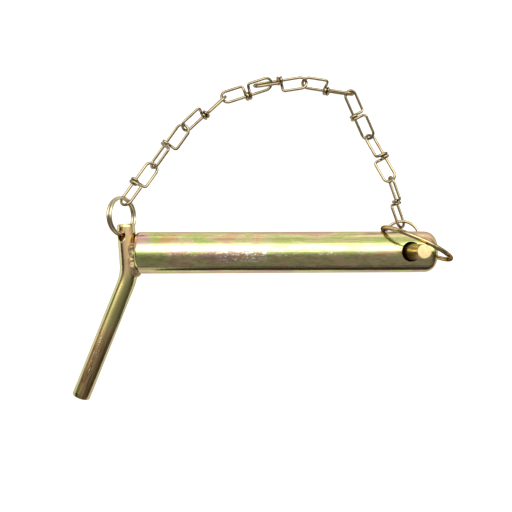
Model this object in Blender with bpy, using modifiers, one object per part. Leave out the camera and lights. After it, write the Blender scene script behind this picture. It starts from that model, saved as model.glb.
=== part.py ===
"""Top link pin with its retaining chain and linch pin, lying at rest on a flat surface.

Lengths are in metres and +Z is up. The rigid pieces are modelled in the pin's own frame: its origin
is the middle of the cross hole, +X runs along the pin to its nose, and +Z runs along the cross hole
to the linch pin's tip. That frame then tips nose up, because the linch pin's head props the nose.
"""

import math

import bmesh
import bpy
from mathutils import Matrix, Vector

CLEARANCE = 0.0003

PIN_DIAMETER = 0.0254
PIN_END_TO_HOLE = 0.1656
HOLE_TO_NOSE = 0.0177
CROSS_HOLE_DIAMETER = 0.0122
NOSE_ROUND_LENGTH = 0.0067
NOSE_ROUND_DEPTH = 0.0060
END_ROUND_LENGTH = 0.0024
END_ROUND_DEPTH = 0.0019

HANDLE_DIAMETER = 0.0109
HANDLE_SET_IN = 0.0007
HANDLE_UPPER_LENGTH = 0.0310
HANDLE_LOWER_LENGTH = 0.0806
HANDLE_UPPER_LEAN = math.radians(3.5)
HANDLE_LOWER_LEAN = math.radians(22.2)
HANDLE_BEND_RADIUS = 0.030
HANDLE_BEND_BELOW_AXIS = 0.0134
HANDLE_END_CHAMFER = 0.0006
RING_HOLE_DIAMETER = 0.0060
RING_HOLE_TO_HANDLE_TOP = 0.0051

WELD_RADIUS = 0.0025
WELD_LUMP = 0.14
WELD_LUMP_SPACING = 0.0052
WELD_NARROWING = 0.40
WELD_TOP = 0.0062

SPLIT_RING_RADIUS = 0.0111
SPLIT_RING_WIRE = 0.0018
SPLIT_RING_TURN_GAP = 0.00012
SPLIT_RING_TURN = math.radians(59.0)
SPLIT_RING_SEAT_ANGLE = math.radians(-66.0)

LINCH_SHANK_DIAMETER = 0.0110
LINCH_TIP_DIAMETER = 0.0083
LINCH_TIP_TAPER = 0.0030
LINCH_REACH = 0.0340
LINCH_HEAD_DIAMETER = 0.0116
LINCH_HEAD_HEIGHT = 0.0108
LINCH_HEAD_EDGE = 0.0009
LINCH_HEAD_OFFSET = 0.0066
LINCH_HEAD_NECK = 0.0013
LINCH_TURN = math.radians(-26.2)
LINCH_LEAN = math.radians(1.0)
LINCH_SHIFT = 0.00015

LINCH_RING_RADIUS = 0.0224
LINCH_RING_WIRE = 0.0028
LINCH_RING_SIDESTEP = 0.0032
LINCH_RING_HINGE_DROP = 0.0064

CHAIN_RING_TILT = math.radians(16.0)
CHAIN_RING_PITCH = math.radians(7.0)
CHAIN_RING_SIDE = -0.0016
CHAIN_RING_OUT = 0.0090
CHAIN_RING_HEIGHT = 0.0060

LINK_PITCH = 0.0309
LINK_WIRE = 0.0018
LINK_WIDTH = 0.0077
LINK_TWIST = math.radians(50.0)
LINK_COIL_GAP = 0.00012
LINK_PLAY = 0.0006
RING_PLAY = 0.0018
LINK_CORNER = 0.0016
LINK_HOOK = math.radians(270)
LINK_SLACKS = {4: 0.0086, 6: 0.0012}
FIRST_LINK_ON_RING = math.radians(74.0)
LAST_LINK_ON_RING = math.radians(115.0)
LINK_HEADINGS = [55, 51, 38, 20, 5, -12, -63, -64, -76]
LINK_ROLLS = [140, 125, 50, 345, 115, 50, 350, 150, 90]

PIN_SIDES = 40
WIRE_RESOLUTION = 2
ROD_RESOLUTION = 6

PIN_RADIUS = PIN_DIAMETER / 2
HANDLE_RADIUS = HANDLE_DIAMETER / 2
SHANK_RADIUS = LINCH_SHANK_DIAMETER / 2
HEAD_RADIUS = LINCH_HEAD_DIAMETER / 2
HEAD_TOP = -PIN_RADIUS - CLEARANCE
HEAD_BOTTOM = HEAD_TOP - LINCH_HEAD_HEIGHT
HINGE_Z = HEAD_TOP - LINCH_RING_HINGE_DROP
HINGE_OUT = SHANK_RADIUS + CLEARANCE + LINCH_RING_WIRE / 2


def rest_tilt():
    """Tilt of the pin when its end and the linch pin's head both stand on the floor."""
    head_x = math.sin(-LINCH_TURN) * LINCH_HEAD_OFFSET - HEAD_RADIUS + LINCH_HEAD_EDGE
    end_x = END_ROUND_LENGTH - PIN_END_TO_HOLE
    return math.atan2(-PIN_RADIUS - HEAD_BOTTOM, head_x - end_x)


REST_TILT = rest_tilt()
FLOOR_AT_END = END_ROUND_LENGTH - PIN_END_TO_HOLE
HOLE_HEIGHT = PIN_RADIUS * math.cos(REST_TILT) - FLOOR_AT_END * math.sin(REST_TILT)


def floor_under(x):
    """Height of the floor in the pin's frame, below the place x along the pin."""
    return -PIN_RADIUS - (x - FLOOR_AT_END) * math.tan(REST_TILT)


def clear_scene():
    """Removes whatever the startup file holds."""
    for obj in list(bpy.data.objects):
        bpy.data.objects.remove(obj, do_unlink=True)


def make_collection(name):
    """A new collection in the scene."""
    made = bpy.data.collections.new(name)
    bpy.context.scene.collection.children.link(made)
    return made


def make_material(name, colour, metallic, roughness):
    """A Principled material with one colour."""
    made = bpy.data.materials.new(name)
    made.use_nodes = True
    shader = made.node_tree.nodes["Principled BSDF"]
    shader.inputs["Base Color"].default_value = (*colour, 1.0)
    shader.inputs["Metallic"].default_value = metallic
    shader.inputs["Roughness"].default_value = roughness
    return made


def make_empty(name, parent, matrix, collection):
    """An empty that carries the pieces of one frame or axis."""
    made = bpy.data.objects.new(name, None)
    made.empty_display_size = 0.01
    collection.objects.link(made)
    made.parent = parent
    made.matrix_basis = matrix
    return made


def make_object(name, data, collection, parent=None, matrix=None, material=None):
    """An object with this mesh or curve, placed in its parent's frame."""
    made = bpy.data.objects.new(name, data)
    collection.objects.link(made)
    made.parent = parent
    if matrix is not None:
        made.matrix_basis = matrix
    if material is not None:
        data.materials.clear()
        data.materials.append(material)
    return made


def as_cutter(obj):
    """Marks an object as a helper that isn't part of the model."""
    obj.hide_render = True
    obj.display_type = "WIRE"
    return obj


def apply_boolean(obj, cutter, operation):
    """Adds a Boolean that stays live on the object."""
    modifier = obj.modifiers.new(operation.title() + " " + cutter.name, "BOOLEAN")
    modifier.operation = operation
    modifier.solver = "EXACT"
    modifier.object = cutter
    as_cutter(cutter)


def smooth(mesh, degrees=35):
    """Smooth shading with sharp edges kept."""
    mesh.shade_smooth()
    mesh.set_sharp_from_angle(angle=math.radians(degrees))


def turned(name, profile, sides, collection, parent, matrix, material=None):
    """A piece turned about its own Z axis from (radius, z) points that run from top to bottom."""
    mesh = bpy.data.meshes.new(name)
    points = [(radius, 0.0, z) for radius, z in profile]
    edges = [(i, i + 1) for i in range(len(points) - 1)]
    mesh.from_pydata(points, edges, [])
    obj = make_object(name, mesh, collection, parent, matrix, material)
    screw = obj.modifiers.new("Turn", "SCREW")
    screw.steps = sides
    screw.render_steps = sides
    screw.use_merge_vertices = True
    screw.merge_threshold = 0.00001
    screw.use_normal_calculate = True
    return obj


def wire_mesh(name, points, radius, resolution, scales=None):
    """Mesh of a round wire along the points, with closed ends."""
    curve = bpy.data.curves.new(name, "CURVE")
    curve.dimensions = "3D"
    curve.bevel_depth = radius
    curve.bevel_resolution = resolution
    curve.use_fill_caps = True
    spline = curve.splines.new("POLY")
    spline.points.add(len(points) - 1)
    for index, place in enumerate(points):
        spline.points[index].co = (*place, 1.0)
        spline.points[index].radius = scales[index] if scales else 1.0
    holder = bpy.data.objects.new(name + " path", curve)
    bpy.context.scene.collection.objects.link(holder)
    bpy.context.view_layer.update()
    evaluated = holder.evaluated_get(bpy.context.evaluated_depsgraph_get())
    mesh = bpy.data.meshes.new_from_object(evaluated)
    mesh.name = name
    bpy.data.objects.remove(holder, do_unlink=True)
    bpy.data.curves.remove(curve)
    work = bmesh.new()
    work.from_mesh(mesh)
    bmesh.ops.remove_doubles(work, verts=work.verts, dist=0.000001)
    bmesh.ops.recalc_face_normals(work, faces=work.faces)
    work.to_mesh(mesh)
    work.free()
    smooth(mesh, 50)
    return mesh


def cylinder_mesh(name, radius, length, sides):
    """Mesh of a cylinder about Z, centred on the origin."""
    mesh = bpy.data.meshes.new(name)
    work = bmesh.new()
    bmesh.ops.create_cone(work, cap_ends=True, segments=sides, radius1=radius, radius2=radius, depth=length)
    work.to_mesh(mesh)
    work.free()
    return mesh


def rounded_corner(length, depth, steps):
    """Quarter ellipse from the flat face out to the full radius, as (depth left, length used)."""
    quarter = [math.pi / 2 * i / steps for i in range(steps + 1)]
    return [(depth * (1 - math.sin(a)), length * (1 - math.cos(a))) for a in quarter]


def pin_profile(gap):
    """Half outline of the pin from the nose's middle to the other end's middle, grown by a gap."""
    radius = PIN_RADIUS + gap
    nose = HOLE_TO_NOSE + gap
    end = -PIN_END_TO_HOLE - gap
    points = [(0.0, nose)]
    points += [(radius - inward, nose - back)
               for inward, back in rounded_corner(NOSE_ROUND_LENGTH, NOSE_ROUND_DEPTH, 6)]
    points += [(radius - inward, end + back)
               for inward, back in reversed(rounded_corner(END_ROUND_LENGTH, END_ROUND_DEPTH, 3))]
    points.append((0.0, end))
    return points


ALONG_PIN = Matrix.Rotation(math.radians(90), 4, "Y")


def build_pin(parts, cutters, frame, material):
    """The round bar, rounded at both ends, with the cross hole and a shallow saddle for the handle."""
    pin = turned("pin_shaft", pin_profile(0.0), PIN_SIDES, parts, frame, ALONG_PIN, material)
    drill = cylinder_mesh("cross hole", CROSS_HOLE_DIAMETER / 2, 2 * PIN_DIAMETER, 28)
    apply_boolean(pin, make_object("cross hole", drill, cutters, frame), "DIFFERENCE")
    apply_boolean(pin, rod_room(cutters, frame, "saddle"), "DIFFERENCE")
    return pin


def handle_plane():
    """Droop of the handle about the pin's axis, which brings the handle's end down to the floor."""
    end = handle_route()[-1]
    drop = -floor_under(end.x) - HANDLE_RADIUS
    return Matrix.Rotation(math.asin(drop / -end.y), 4, "X")


def handle_route():
    """Middle line of the bent rod, from its top end to its lower end, in a flat plane."""
    up = Vector((-math.sin(HANDLE_UPPER_LEAN), math.cos(HANDLE_UPPER_LEAN), 0.0))
    down = Vector((-math.sin(HANDLE_LOWER_LEAN), -math.cos(HANDLE_LOWER_LEAN), 0.0))
    half = (HANDLE_UPPER_LEAN + HANDLE_LOWER_LEAN) / 2
    inward = (up + down).normalized()
    to_centre = inward * (HANDLE_BEND_RADIUS / math.cos(half))
    bulge = HANDLE_BEND_RADIUS + to_centre.x
    corner = Vector((-PIN_END_TO_HOLE + HANDLE_SET_IN - HANDLE_RADIUS - bulge, -HANDLE_BEND_BELOW_AXIS, 0.0))
    centre = corner + to_centre
    steps = 8
    turns = [HANDLE_UPPER_LEAN - (HANDLE_UPPER_LEAN + HANDLE_LOWER_LEAN) * i / steps for i in range(steps + 1)]
    bend = [centre + HANDLE_BEND_RADIUS * Vector((math.cos(a), math.sin(a), 0.0)) for a in turns]
    return [corner + up * HANDLE_UPPER_LENGTH, *bend, corner + down * HANDLE_LOWER_LENGTH]


def rod_with_chamfers(route, radius, chamfer):
    """Points and thickness of a rod whose two ends are chamfered."""
    first = (route[1] - route[0]).normalized()
    last = (route[-1] - route[-2]).normalized()
    points = [route[0], route[0] + first * chamfer, *route[1:-1], route[-1] - last * chamfer, route[-1]]
    narrow = (radius - chamfer) / radius
    scales = [narrow] + [1.0] * (len(points) - 2) + [narrow]
    return points, scales


def rod_room(cutters, frame, name):
    """Cutter that leaves room for the rod."""
    room = wire_mesh(name, handle_route(), HANDLE_RADIUS + CLEARANCE, ROD_RESOLUTION)
    return make_object(name, room, cutters, frame, handle_plane())


def ring_seat():
    """Where the split ring crosses the handle, and its middle, in the pin's frame."""
    route = handle_route()
    along = (route[0] - route[1]).normalized()
    seat = handle_plane() @ (route[0] - along * RING_HOLE_TO_HANDLE_TOP)
    across = Vector((math.cos(SPLIT_RING_TURN), 0.0, -math.sin(SPLIT_RING_TURN)))
    up = Vector((0.0, 1.0, 0.0))
    out = across * math.cos(SPLIT_RING_SEAT_ANGLE) + up * math.sin(SPLIT_RING_SEAT_ANGLE)
    tangent = up * math.cos(SPLIT_RING_SEAT_ANGLE) - across * math.sin(SPLIT_RING_SEAT_ANGLE)
    sag = SPLIT_RING_RADIUS - math.sqrt(SPLIT_RING_RADIUS ** 2 - HANDLE_RADIUS ** 2)
    middle = seat - out * (SPLIT_RING_RADIUS - sag / 2)
    return seat, middle, across, up, tangent


def frame_of(origin, x_axis, y_axis):
    """Matrix of a frame with this origin, X axis and a Y axis near the one given."""
    x_axis = x_axis.normalized()
    z_axis = x_axis.cross(y_axis).normalized()
    y_axis = z_axis.cross(x_axis)
    made = Matrix((x_axis, y_axis, z_axis)).transposed().to_4x4()
    made.translation = origin
    return made


def build_handle(parts, cutters, frame, material):
    """The bent rod, with a hole at its top end for the split ring."""
    points, scales = rod_with_chamfers(handle_route(), HANDLE_RADIUS, HANDLE_END_CHAMFER)
    mesh = wire_mesh("handle_bar", points, HANDLE_RADIUS, ROD_RESOLUTION, scales)
    handle = make_object("handle_bar", mesh, parts, frame, handle_plane(), material)
    seat, _, across, _, tangent = ring_seat()
    drill = cylinder_mesh("ring hole", RING_HOLE_DIAMETER / 2, 3 * HANDLE_DIAMETER, 16)
    along_z = frame_of(seat, tangent, across) @ ALONG_PIN
    apply_boolean(handle, make_object("ring hole", drill, cutters, frame, along_z), "DIFFERENCE")
    return handle


def weld_route():
    """Path of the weld: down one side of the rod, round under the pin's end and up the other side."""
    side = 0.88 * HANDLE_RADIUS
    inset = -PIN_END_TO_HOLE - 0.6 * WELD_RADIUS
    low = -PIN_RADIUS + 0.9 * WELD_RADIUS
    straight = 10
    down = [Vector((inset, WELD_TOP + (low - WELD_TOP) * i / straight, side)) for i in range(straight + 1)]
    steps = 6
    under = [Vector((inset + 0.5 * WELD_RADIUS * math.sin(a), low - WELD_RADIUS * math.sin(a),
                     side * math.cos(a)))
             for a in [math.pi * i / steps for i in range(1, steps)]]
    up = [Vector((p.x, p.y, -p.z)) for p in reversed(down)]
    return down + under + up


def weld_scales(route):
    """Thickness of the weld along its path: lumpy, thinner under the pin's end and at both ends."""
    walked = 0.0
    scales = []
    side = abs(route[0].z)
    for before, point in zip([route[0], *route], route):
        walked += (point - before).length
        turn = 2 * math.pi * walked / WELD_LUMP_SPACING
        lumps = WELD_LUMP * (math.sin(turn) + 0.4 * math.sin(2.7 * turn))
        scales.append((1.0 + lumps) * (1.0 - WELD_NARROWING * (1.0 - abs(point.z) / side)))
    scales[0] = scales[-1] = 0.6
    return scales


def build_weld(parts, cutters, frame, material):
    """The weld between rod and pin: a lumpy bead that is cut back to clear both."""
    route = weld_route()
    mesh = wire_mesh("weld_bead", route, WELD_RADIUS, 3, weld_scales(route))
    weld = make_object("weld_bead", mesh, parts, frame, None, material)
    apply_boolean(weld, turned("pin room", pin_profile(CLEARANCE), PIN_SIDES, cutters, frame, ALONG_PIN),
                  "DIFFERENCE")
    apply_boolean(weld, rod_room(cutters, frame, "rod room"), "DIFFERENCE")
    return weld


def split_ring_route():
    """Two flat turns of wire that lie side by side, with a step from one to the other before they meet."""
    pitch = SPLIT_RING_WIRE + SPLIT_RING_TURN_GAP
    step_from, step_to, turn_end = 330.0, 358.0, 684.0
    count = 46
    points = []
    for i in range(count + 1):
        angle = turn_end * i / count
        share = min(max((angle - step_from) / (step_to - step_from), 0.0), 1.0)
        rise = pitch * (share * share * (3 - 2 * share) - 0.5)
        a = math.radians(angle)
        points.append(Vector((SPLIT_RING_RADIUS * math.cos(a), SPLIT_RING_RADIUS * math.sin(a), rise)))
    return points


def linch_frame():
    """The linch pin's own frame: X along the ring's hinge, Y out to the ring, Z along the shank."""
    lean = Matrix.Rotation(LINCH_LEAN, 4, "Y")
    turn = Matrix.Rotation(LINCH_TURN, 4, "Z")
    return Matrix.Translation((LINCH_SHIFT, 0.0, 0.0)) @ lean @ turn


def neck_mesh(name, low, high):
    """Mesh of a plate that runs from the shank across to the head, with round ends."""
    work = bmesh.new()
    sides = 24
    for radius, out in ((SHANK_RADIUS * 1.03, 0.0), (HEAD_RADIUS * 0.97, LINCH_HEAD_OFFSET)):
        for i in range(sides):
            a = 2 * math.pi * i / sides
            for z in (low, high):
                work.verts.new((radius * math.cos(a), out + radius * math.sin(a), z))
    bmesh.ops.convex_hull(work, input=work.verts)
    loose = [v for v in work.verts if not v.link_faces]
    bmesh.ops.delete(work, geom=loose, context="VERTS")
    bmesh.ops.dissolve_limit(work, angle_limit=math.radians(1), verts=work.verts, edges=work.edges)
    bmesh.ops.recalc_face_normals(work, faces=work.faces)
    mesh = bpy.data.meshes.new(name)
    work.to_mesh(mesh)
    work.free()
    return mesh


def build_linch_pin(parts, cutters, frame, material):
    """The linch pin: a turned shank joined to a head that carries the ring beside the shank."""
    waist = HEAD_TOP - LINCH_HEAD_NECK
    profile = [(0.0, LINCH_REACH), (LINCH_TIP_DIAMETER / 2, LINCH_REACH),
               (SHANK_RADIUS, LINCH_REACH - LINCH_TIP_TAPER), (SHANK_RADIUS, waist + LINCH_HEAD_EDGE),
               (SHANK_RADIUS - LINCH_HEAD_EDGE, waist - 0.0001), (0.0, waist - 0.0001)]
    pin = turned("linch_pin", profile, 24, parts, frame, None, material)
    neck = neck_mesh("linch neck", waist, HEAD_TOP)
    apply_boolean(pin, make_object("linch neck", neck, cutters, frame), "UNION")
    edge = LINCH_HEAD_EDGE
    top = HEAD_TOP - 0.0003
    outline = [(0.0, top), (HEAD_RADIUS - edge, top), (HEAD_RADIUS, top - edge),
               (HEAD_RADIUS, HEAD_BOTTOM + edge), (HEAD_RADIUS - edge, HEAD_BOTTOM), (0.0, HEAD_BOTTOM)]
    beside = Matrix.Translation((0.0, LINCH_HEAD_OFFSET, 0.0))
    apply_boolean(pin, turned("linch head", outline, 28, cutters, frame, beside), "UNION")
    bore = cylinder_mesh("hinge bore", LINCH_RING_WIRE / 2 + CLEARANCE, 2 * LINCH_HEAD_DIAMETER, 14)
    place = Matrix.Translation((0.0, HINGE_OUT, HINGE_Z)) @ ALONG_PIN
    apply_boolean(pin, make_object("hinge bore", bore, cutters, frame, place), "DIFFERENCE")
    return pin


def linch_ring_route():
    """The sprung ring from its hinge: two short straight ends in the head and one round bow."""
    reach = HEAD_RADIUS + LINCH_RING_SIDESTEP
    rise = math.sqrt(LINCH_RING_RADIUS ** 2 - reach ** 2)
    start = math.asin(reach / LINCH_RING_RADIUS)
    steps = 36
    sweep = [start + (2 * math.pi - 2 * start) * i / steps for i in range(steps + 1)]
    bow = [Vector((-LINCH_RING_RADIUS * math.sin(a), 0.0, rise - LINCH_RING_RADIUS * math.cos(a)))
           for a in sweep]
    inner = CLEARANCE
    left = [Vector((-inner, 0.0, 0.0)), Vector((-reach * 0.8, 0.0, 0.0))]
    right = [Vector((-p.x, p.y, p.z)) for p in reversed(left)]
    return left + bow + right


def build_linch_ring(parts, frame, material):
    """The ring, closed over the pin, hinged in the linch pin's head."""
    hinge = Matrix.Translation((LINCH_RING_SIDESTEP, HINGE_OUT, HINGE_Z))
    mesh = wire_mesh("linch_ring", linch_ring_route(), LINCH_RING_WIRE / 2, WIRE_RESOLUTION)
    return make_object("linch_ring", mesh, parts, frame, hinge, material)


def chain_ring_frame():
    """Frame of the second split ring, in the pin's frame, with Y towards the chain."""
    side = Vector((math.cos(LINCH_TURN), math.sin(LINCH_TURN), 0.0))
    out = Vector((-side.y, side.x, 0.0))
    above = Vector((0.0, 0.0, 1.0))
    tipped = side * math.cos(CHAIN_RING_TILT) + above * math.sin(CHAIN_RING_TILT)
    raised = out * math.cos(CHAIN_RING_PITCH) + above * math.sin(CHAIN_RING_PITCH)
    middle = side * CHAIN_RING_SIDE + out * CHAIN_RING_OUT
    middle.z = floor_under(middle.x) + CHAIN_RING_HEIGHT
    return frame_of(middle, tipped, raised)


def ring_contact(angle):
    """Place inside a split ring, in its own frame, where a link's loop meets it."""
    inside = SPLIT_RING_RADIUS - SPLIT_RING_WIRE / 2 - RING_PLAY
    return Vector((inside * math.cos(angle), inside * math.sin(angle), 0.0))


def link_half():
    """Half a link's wire from the middle of its spine: a loop, a cross bar and a hook round the spine.

    The spine lies on the X axis, and the loop leaves it along u, which is turned half the twist
    out of Y. The cross bar comes back to the spine square to it, close beside the other half's
    bar, and passes it on the side that v points to.
    """
    u = Vector((0.0, math.cos(LINK_TWIST / 2), math.sin(LINK_TWIST / 2)))
    v = Vector((0.0, -u.z, u.y))
    along = Vector((1.0, 0.0, 0.0))
    bow = LINK_WIDTH / 2
    centre = link_half_length() + link_contact() - bow
    half = [Vector((0.0, 0.0, 0.0))]
    bow_steps = 8
    for i in range(bow_steps + 1):
        a = math.pi * i / bow_steps
        half.append(along * (centre + bow * math.sin(a)) + u * (bow - bow * math.cos(a)))
    pitch = LINK_WIRE + LINK_COIL_GAP
    bar = along * pitch / 2
    corner_steps = 3
    for i in range(corner_steps + 1):
        a = math.pi / 2 * i / corner_steps
        half.append(bar + along * LINK_CORNER * (1 - math.sin(a))
                    + u * (LINK_WIDTH - LINK_CORNER * (1 - math.cos(a))))
    hook_steps = 8
    turn = LINK_HOOK / hook_steps
    hook_radius = pitch / math.cos(turn / 2)
    start = half[-1]
    reach = u * 0.4 * (LINK_WIDTH - LINK_CORNER)
    half += bezier(start, start - reach, bar + v * hook_radius + reach, bar + v * hook_radius, 4)
    for i in range(1, hook_steps + 1):
        a = math.pi / 2 + turn * i
        half.append(bar + (u * math.cos(a) + v * math.sin(a)) * hook_radius)
    return half


def bezier(start, first, second, end, steps):
    """Points after the start on a cubic curve with these two handles."""
    found = []
    for i in range(1, steps + 1):
        t = i / steps
        s = 1 - t
        found.append(start * s ** 3 + first * (3 * s * s * t) + second * (3 * s * t * t) + end * t ** 3)
    return found


def link_contact():
    """Distance from the point where two links meet to the middle of either wire."""
    return (LINK_WIRE + LINK_PLAY) / 2


def link_half_length():
    """Half the length of a link's spine between its two contacts."""
    skew = LINK_WIDTH * math.sin(LINK_TWIST / 2)
    return math.sqrt(LINK_PITCH ** 2 - skew ** 2) / 2


def link_route():
    """A whole link's wire: one half, and the same half turned round the Y axis."""
    half = link_half()
    other = [Vector((-p.x, p.y, -p.z)) for p in half]
    return list(reversed(other[1:])) + half


def link_own_frame():
    """Frame at a link's first contact: X to its last contact, Y out along its loops."""
    bow = LINK_WIDTH / 2
    u = Vector((0.0, math.cos(LINK_TWIST / 2), math.sin(LINK_TWIST / 2)))
    last = Vector((link_half_length(), 0.0, 0.0)) + u * bow
    first = Vector((-last.x, last.y, -last.z))
    return frame_of(first, last - first, Vector((0.0, 1.0, 0.0)))


def link_heights(first, last):
    """Height of each contact: as low as the loops that meet there, and the knots beside it, can lie."""
    bow = LINK_WIDTH / 2
    knot = 1.6 * LINK_WIRE + LINK_COIL_GAP
    heights = [first]
    for before, after in zip(LINK_ROLLS, LINK_ROLLS[1:]):
        leaving = abs(math.sin(math.radians(before) + LINK_TWIST))
        coming = abs(math.sin(math.radians(after)))
        heights.append(LINK_WIRE / 2 + bow * max(leaving, coming))
    heights.append(last)
    for index, roll in enumerate(LINK_ROLLS):
        rise = (math.sin(math.radians(roll)) + math.sin(math.radians(roll) + LINK_TWIST)) / 2
        short = knot + bow * rise - (heights[index] + heights[index + 1]) / 2
        ends = [place for place in (index, index + 1) if 0 < place < len(LINK_ROLLS)]
        for place in ends:
            heights[place] += max(short, 0.0) * 2 / len(ends)
    return heights


def chain_steps(heights, turn, spread):
    """Step of each link, and the slack back to the next one's start, when the arch is turned and spread."""
    mean = sum(LINK_HEADINGS) / len(LINK_HEADINGS)
    angles = [math.radians(mean + (heading - mean) * spread) + turn for heading in LINK_HEADINGS]
    headings = [Vector((math.cos(angle), math.sin(angle), 0.0)) for angle in angles]
    steps = []
    for index, heading in enumerate(headings):
        climb = heights[index + 1] - heights[index]
        level = math.sqrt(LINK_PITCH ** 2 - climb ** 2)
        between = (heading + headings[min(index + 1, len(headings) - 1)]).normalized()
        steps.append((heading * level, between * LINK_SLACKS.get(index + 1, 0.0)))
    return steps


def close_chain(start, end):
    """Contacts (first, last) of each link, once the arch is bent so that it spans from start to end."""
    heights = link_heights(start.z, end.z)
    turn, spread = 0.0, 1.0

    def miss(turn, spread):
        """Distance left to the end, in the floor's plane."""
        total = sum((step - slack for step, slack in chain_steps(heights, turn, spread)), Vector())
        return (start + total - end).to_2d()

    nudge = 0.0001
    for _ in range(12):
        here = miss(turn, spread)
        by_turn = (miss(turn + nudge, spread) - here) / nudge
        by_spread = (miss(turn, spread + nudge) - here) / nudge
        size = by_turn.x * by_spread.y - by_turn.y * by_spread.x
        turn -= (here.x * by_spread.y - here.y * by_spread.x) / size
        spread -= (by_turn.x * here.y - by_turn.y * here.x) / size
    links = []
    place = start.copy()
    for index, (step, slack) in enumerate(chain_steps(heights, turn, spread)):
        first = Vector((place.x, place.y, heights[index]))
        last = Vector((first.x + step.x, first.y + step.y, heights[index + 1]))
        links.append((first, last))
        place = last - slack
    return links


def build_chain(parts, root, start, end, material):
    """Nine knotted links from one split ring to the other, each hinged at its first contact."""
    mesh = wire_mesh("chain_link", link_route(), LINK_WIRE / 2, WIRE_RESOLUTION)
    mesh.transform(link_own_frame().inverted())
    made = []
    for index, (first, last) in enumerate(close_chain(start, end)):
        along = (last - first).normalized()
        left = Vector((0.0, 0.0, 1.0)).cross(along).normalized()
        above = along.cross(left)
        roll = math.radians(LINK_ROLLS[index]) + LINK_TWIST / 2
        place = frame_of(first, along, left * math.cos(roll) + above * math.sin(roll))
        made.append(make_object(f"chain_link_{index + 1}", mesh, parts, root, place, material))
    return made


def centre_on_floor(root, pieces):
    """Moves the whole object so that its box is centred on the origin, with its lowest point at z = 0."""
    bpy.context.view_layer.update()
    graph = bpy.context.evaluated_depsgraph_get()
    low = Vector((math.inf, math.inf, math.inf))
    high = -low
    for piece in pieces:
        evaluated = piece.evaluated_get(graph)
        mesh = evaluated.to_mesh()
        for vertex in mesh.vertices:
            place = evaluated.matrix_world @ vertex.co
            low = Vector(map(min, low, place))
            high = Vector(map(max, high, place))
        evaluated.to_mesh_clear()
    middle = (low + high) / 2
    root.location -= Vector((middle.x, middle.y, low.z))
    bpy.context.view_layer.update()


def main():
    """Builds the pin, its handle, the linch pin with its ring, and the chain between them."""
    clear_scene()
    parts = make_collection("top_link_pin")
    cutters = make_collection("cutters")
    root = make_empty("top_link_pin", None, Matrix.Identity(4), parts)
    tipped = Matrix.Translation((0.0, 0.0, HOLE_HEIGHT)) @ Matrix.Rotation(-REST_TILT, 4, "Y")
    frame = make_empty("pin_frame", root, tipped, parts)
    linch = make_empty("linch_frame", frame, linch_frame(), parts)

    zinc = make_material("yellow zinc", (0.72, 0.62, 0.30), 1.0, 0.22)
    dull_zinc = make_material("dull yellow zinc", (0.62, 0.52, 0.27), 1.0, 0.34)
    ring_zinc = make_material("golden zinc", (0.68, 0.52, 0.22), 1.0, 0.25)
    chain_zinc = make_material("pale chain zinc", (0.66, 0.61, 0.42), 1.0, 0.30)

    pieces = [build_pin(parts, cutters, frame, zinc),
              build_handle(parts, cutters, frame, zinc),
              build_weld(parts, cutters, frame, dull_zinc),
              build_linch_pin(parts, cutters, linch, dull_zinc),
              build_linch_ring(parts, linch, ring_zinc)]

    _, middle, across, up, _ = ring_seat()
    handle_ring = frame_of(middle, across, up)
    chain_ring = chain_ring_frame()
    ring_mesh = wire_mesh("split_ring", split_ring_route(), SPLIT_RING_WIRE / 2, WIRE_RESOLUTION)
    pieces.append(make_object("handle_split_ring", ring_mesh, parts, frame, handle_ring, chain_zinc))
    pieces.append(make_object("linch_split_ring", ring_mesh, parts, frame, chain_ring, chain_zinc))

    start = tipped @ handle_ring @ ring_contact(FIRST_LINK_ON_RING)
    end = tipped @ chain_ring @ ring_contact(LAST_LINK_ON_RING)
    pieces += build_chain(parts, root, start, end, chain_zinc)
    centre_on_floor(root, pieces)


main()
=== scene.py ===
"""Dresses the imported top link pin: smooth metal pieces, yellow zinc finishes, studio and camera.

Every piece is built in the frame's own space, in metres, and stands for the plain solid of the same
name. Profiles and wire paths are numpy arrays, and a piece's faces are made from whole grids.
"""

from __future__ import annotations

import logging
import math
from dataclasses import dataclass, field
from enum import Enum
from typing import Sequence

import bpy
import numpy as np
from mathutils import Matrix

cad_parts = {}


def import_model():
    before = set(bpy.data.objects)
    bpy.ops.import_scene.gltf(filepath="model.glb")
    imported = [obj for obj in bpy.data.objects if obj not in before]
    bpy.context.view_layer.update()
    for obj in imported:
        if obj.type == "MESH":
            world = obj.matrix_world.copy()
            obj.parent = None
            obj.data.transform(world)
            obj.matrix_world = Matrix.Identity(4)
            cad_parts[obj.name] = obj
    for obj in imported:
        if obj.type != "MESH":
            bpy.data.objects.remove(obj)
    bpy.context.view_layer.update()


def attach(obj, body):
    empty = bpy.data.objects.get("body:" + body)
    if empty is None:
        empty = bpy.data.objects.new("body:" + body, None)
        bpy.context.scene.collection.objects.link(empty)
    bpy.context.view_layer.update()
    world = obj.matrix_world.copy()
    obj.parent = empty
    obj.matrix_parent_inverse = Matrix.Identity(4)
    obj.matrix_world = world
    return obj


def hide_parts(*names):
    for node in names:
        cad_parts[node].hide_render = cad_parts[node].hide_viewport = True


logging.basicConfig(level=logging.INFO, format="%(name)s: %(message)s")
LOG = logging.getLogger("scene")

Array = np.ndarray
Colour = tuple[float, float, float]
Stops = tuple[tuple[float, Colour], ...]
Span = tuple[float, float]
Zone = tuple[float, float, float]
Coat = tuple[float, Colour]


class Body(str, Enum):
    """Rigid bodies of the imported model."""

    PIN = "pin"
    HANDLE_RING = "handle_ring"
    CHAIN_RING = "chain_ring"
    SPRUNG_RING = "sprung_ring"


class Slot(str, Enum):
    """Material slots of the record."""

    YELLOW = "yellow_zinc"
    DULL = "dull_yellow_zinc"
    GOLDEN = "golden_zinc"
    CHAIN = "pale_chain_zinc"


# Geometry on numpy arrays


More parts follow.
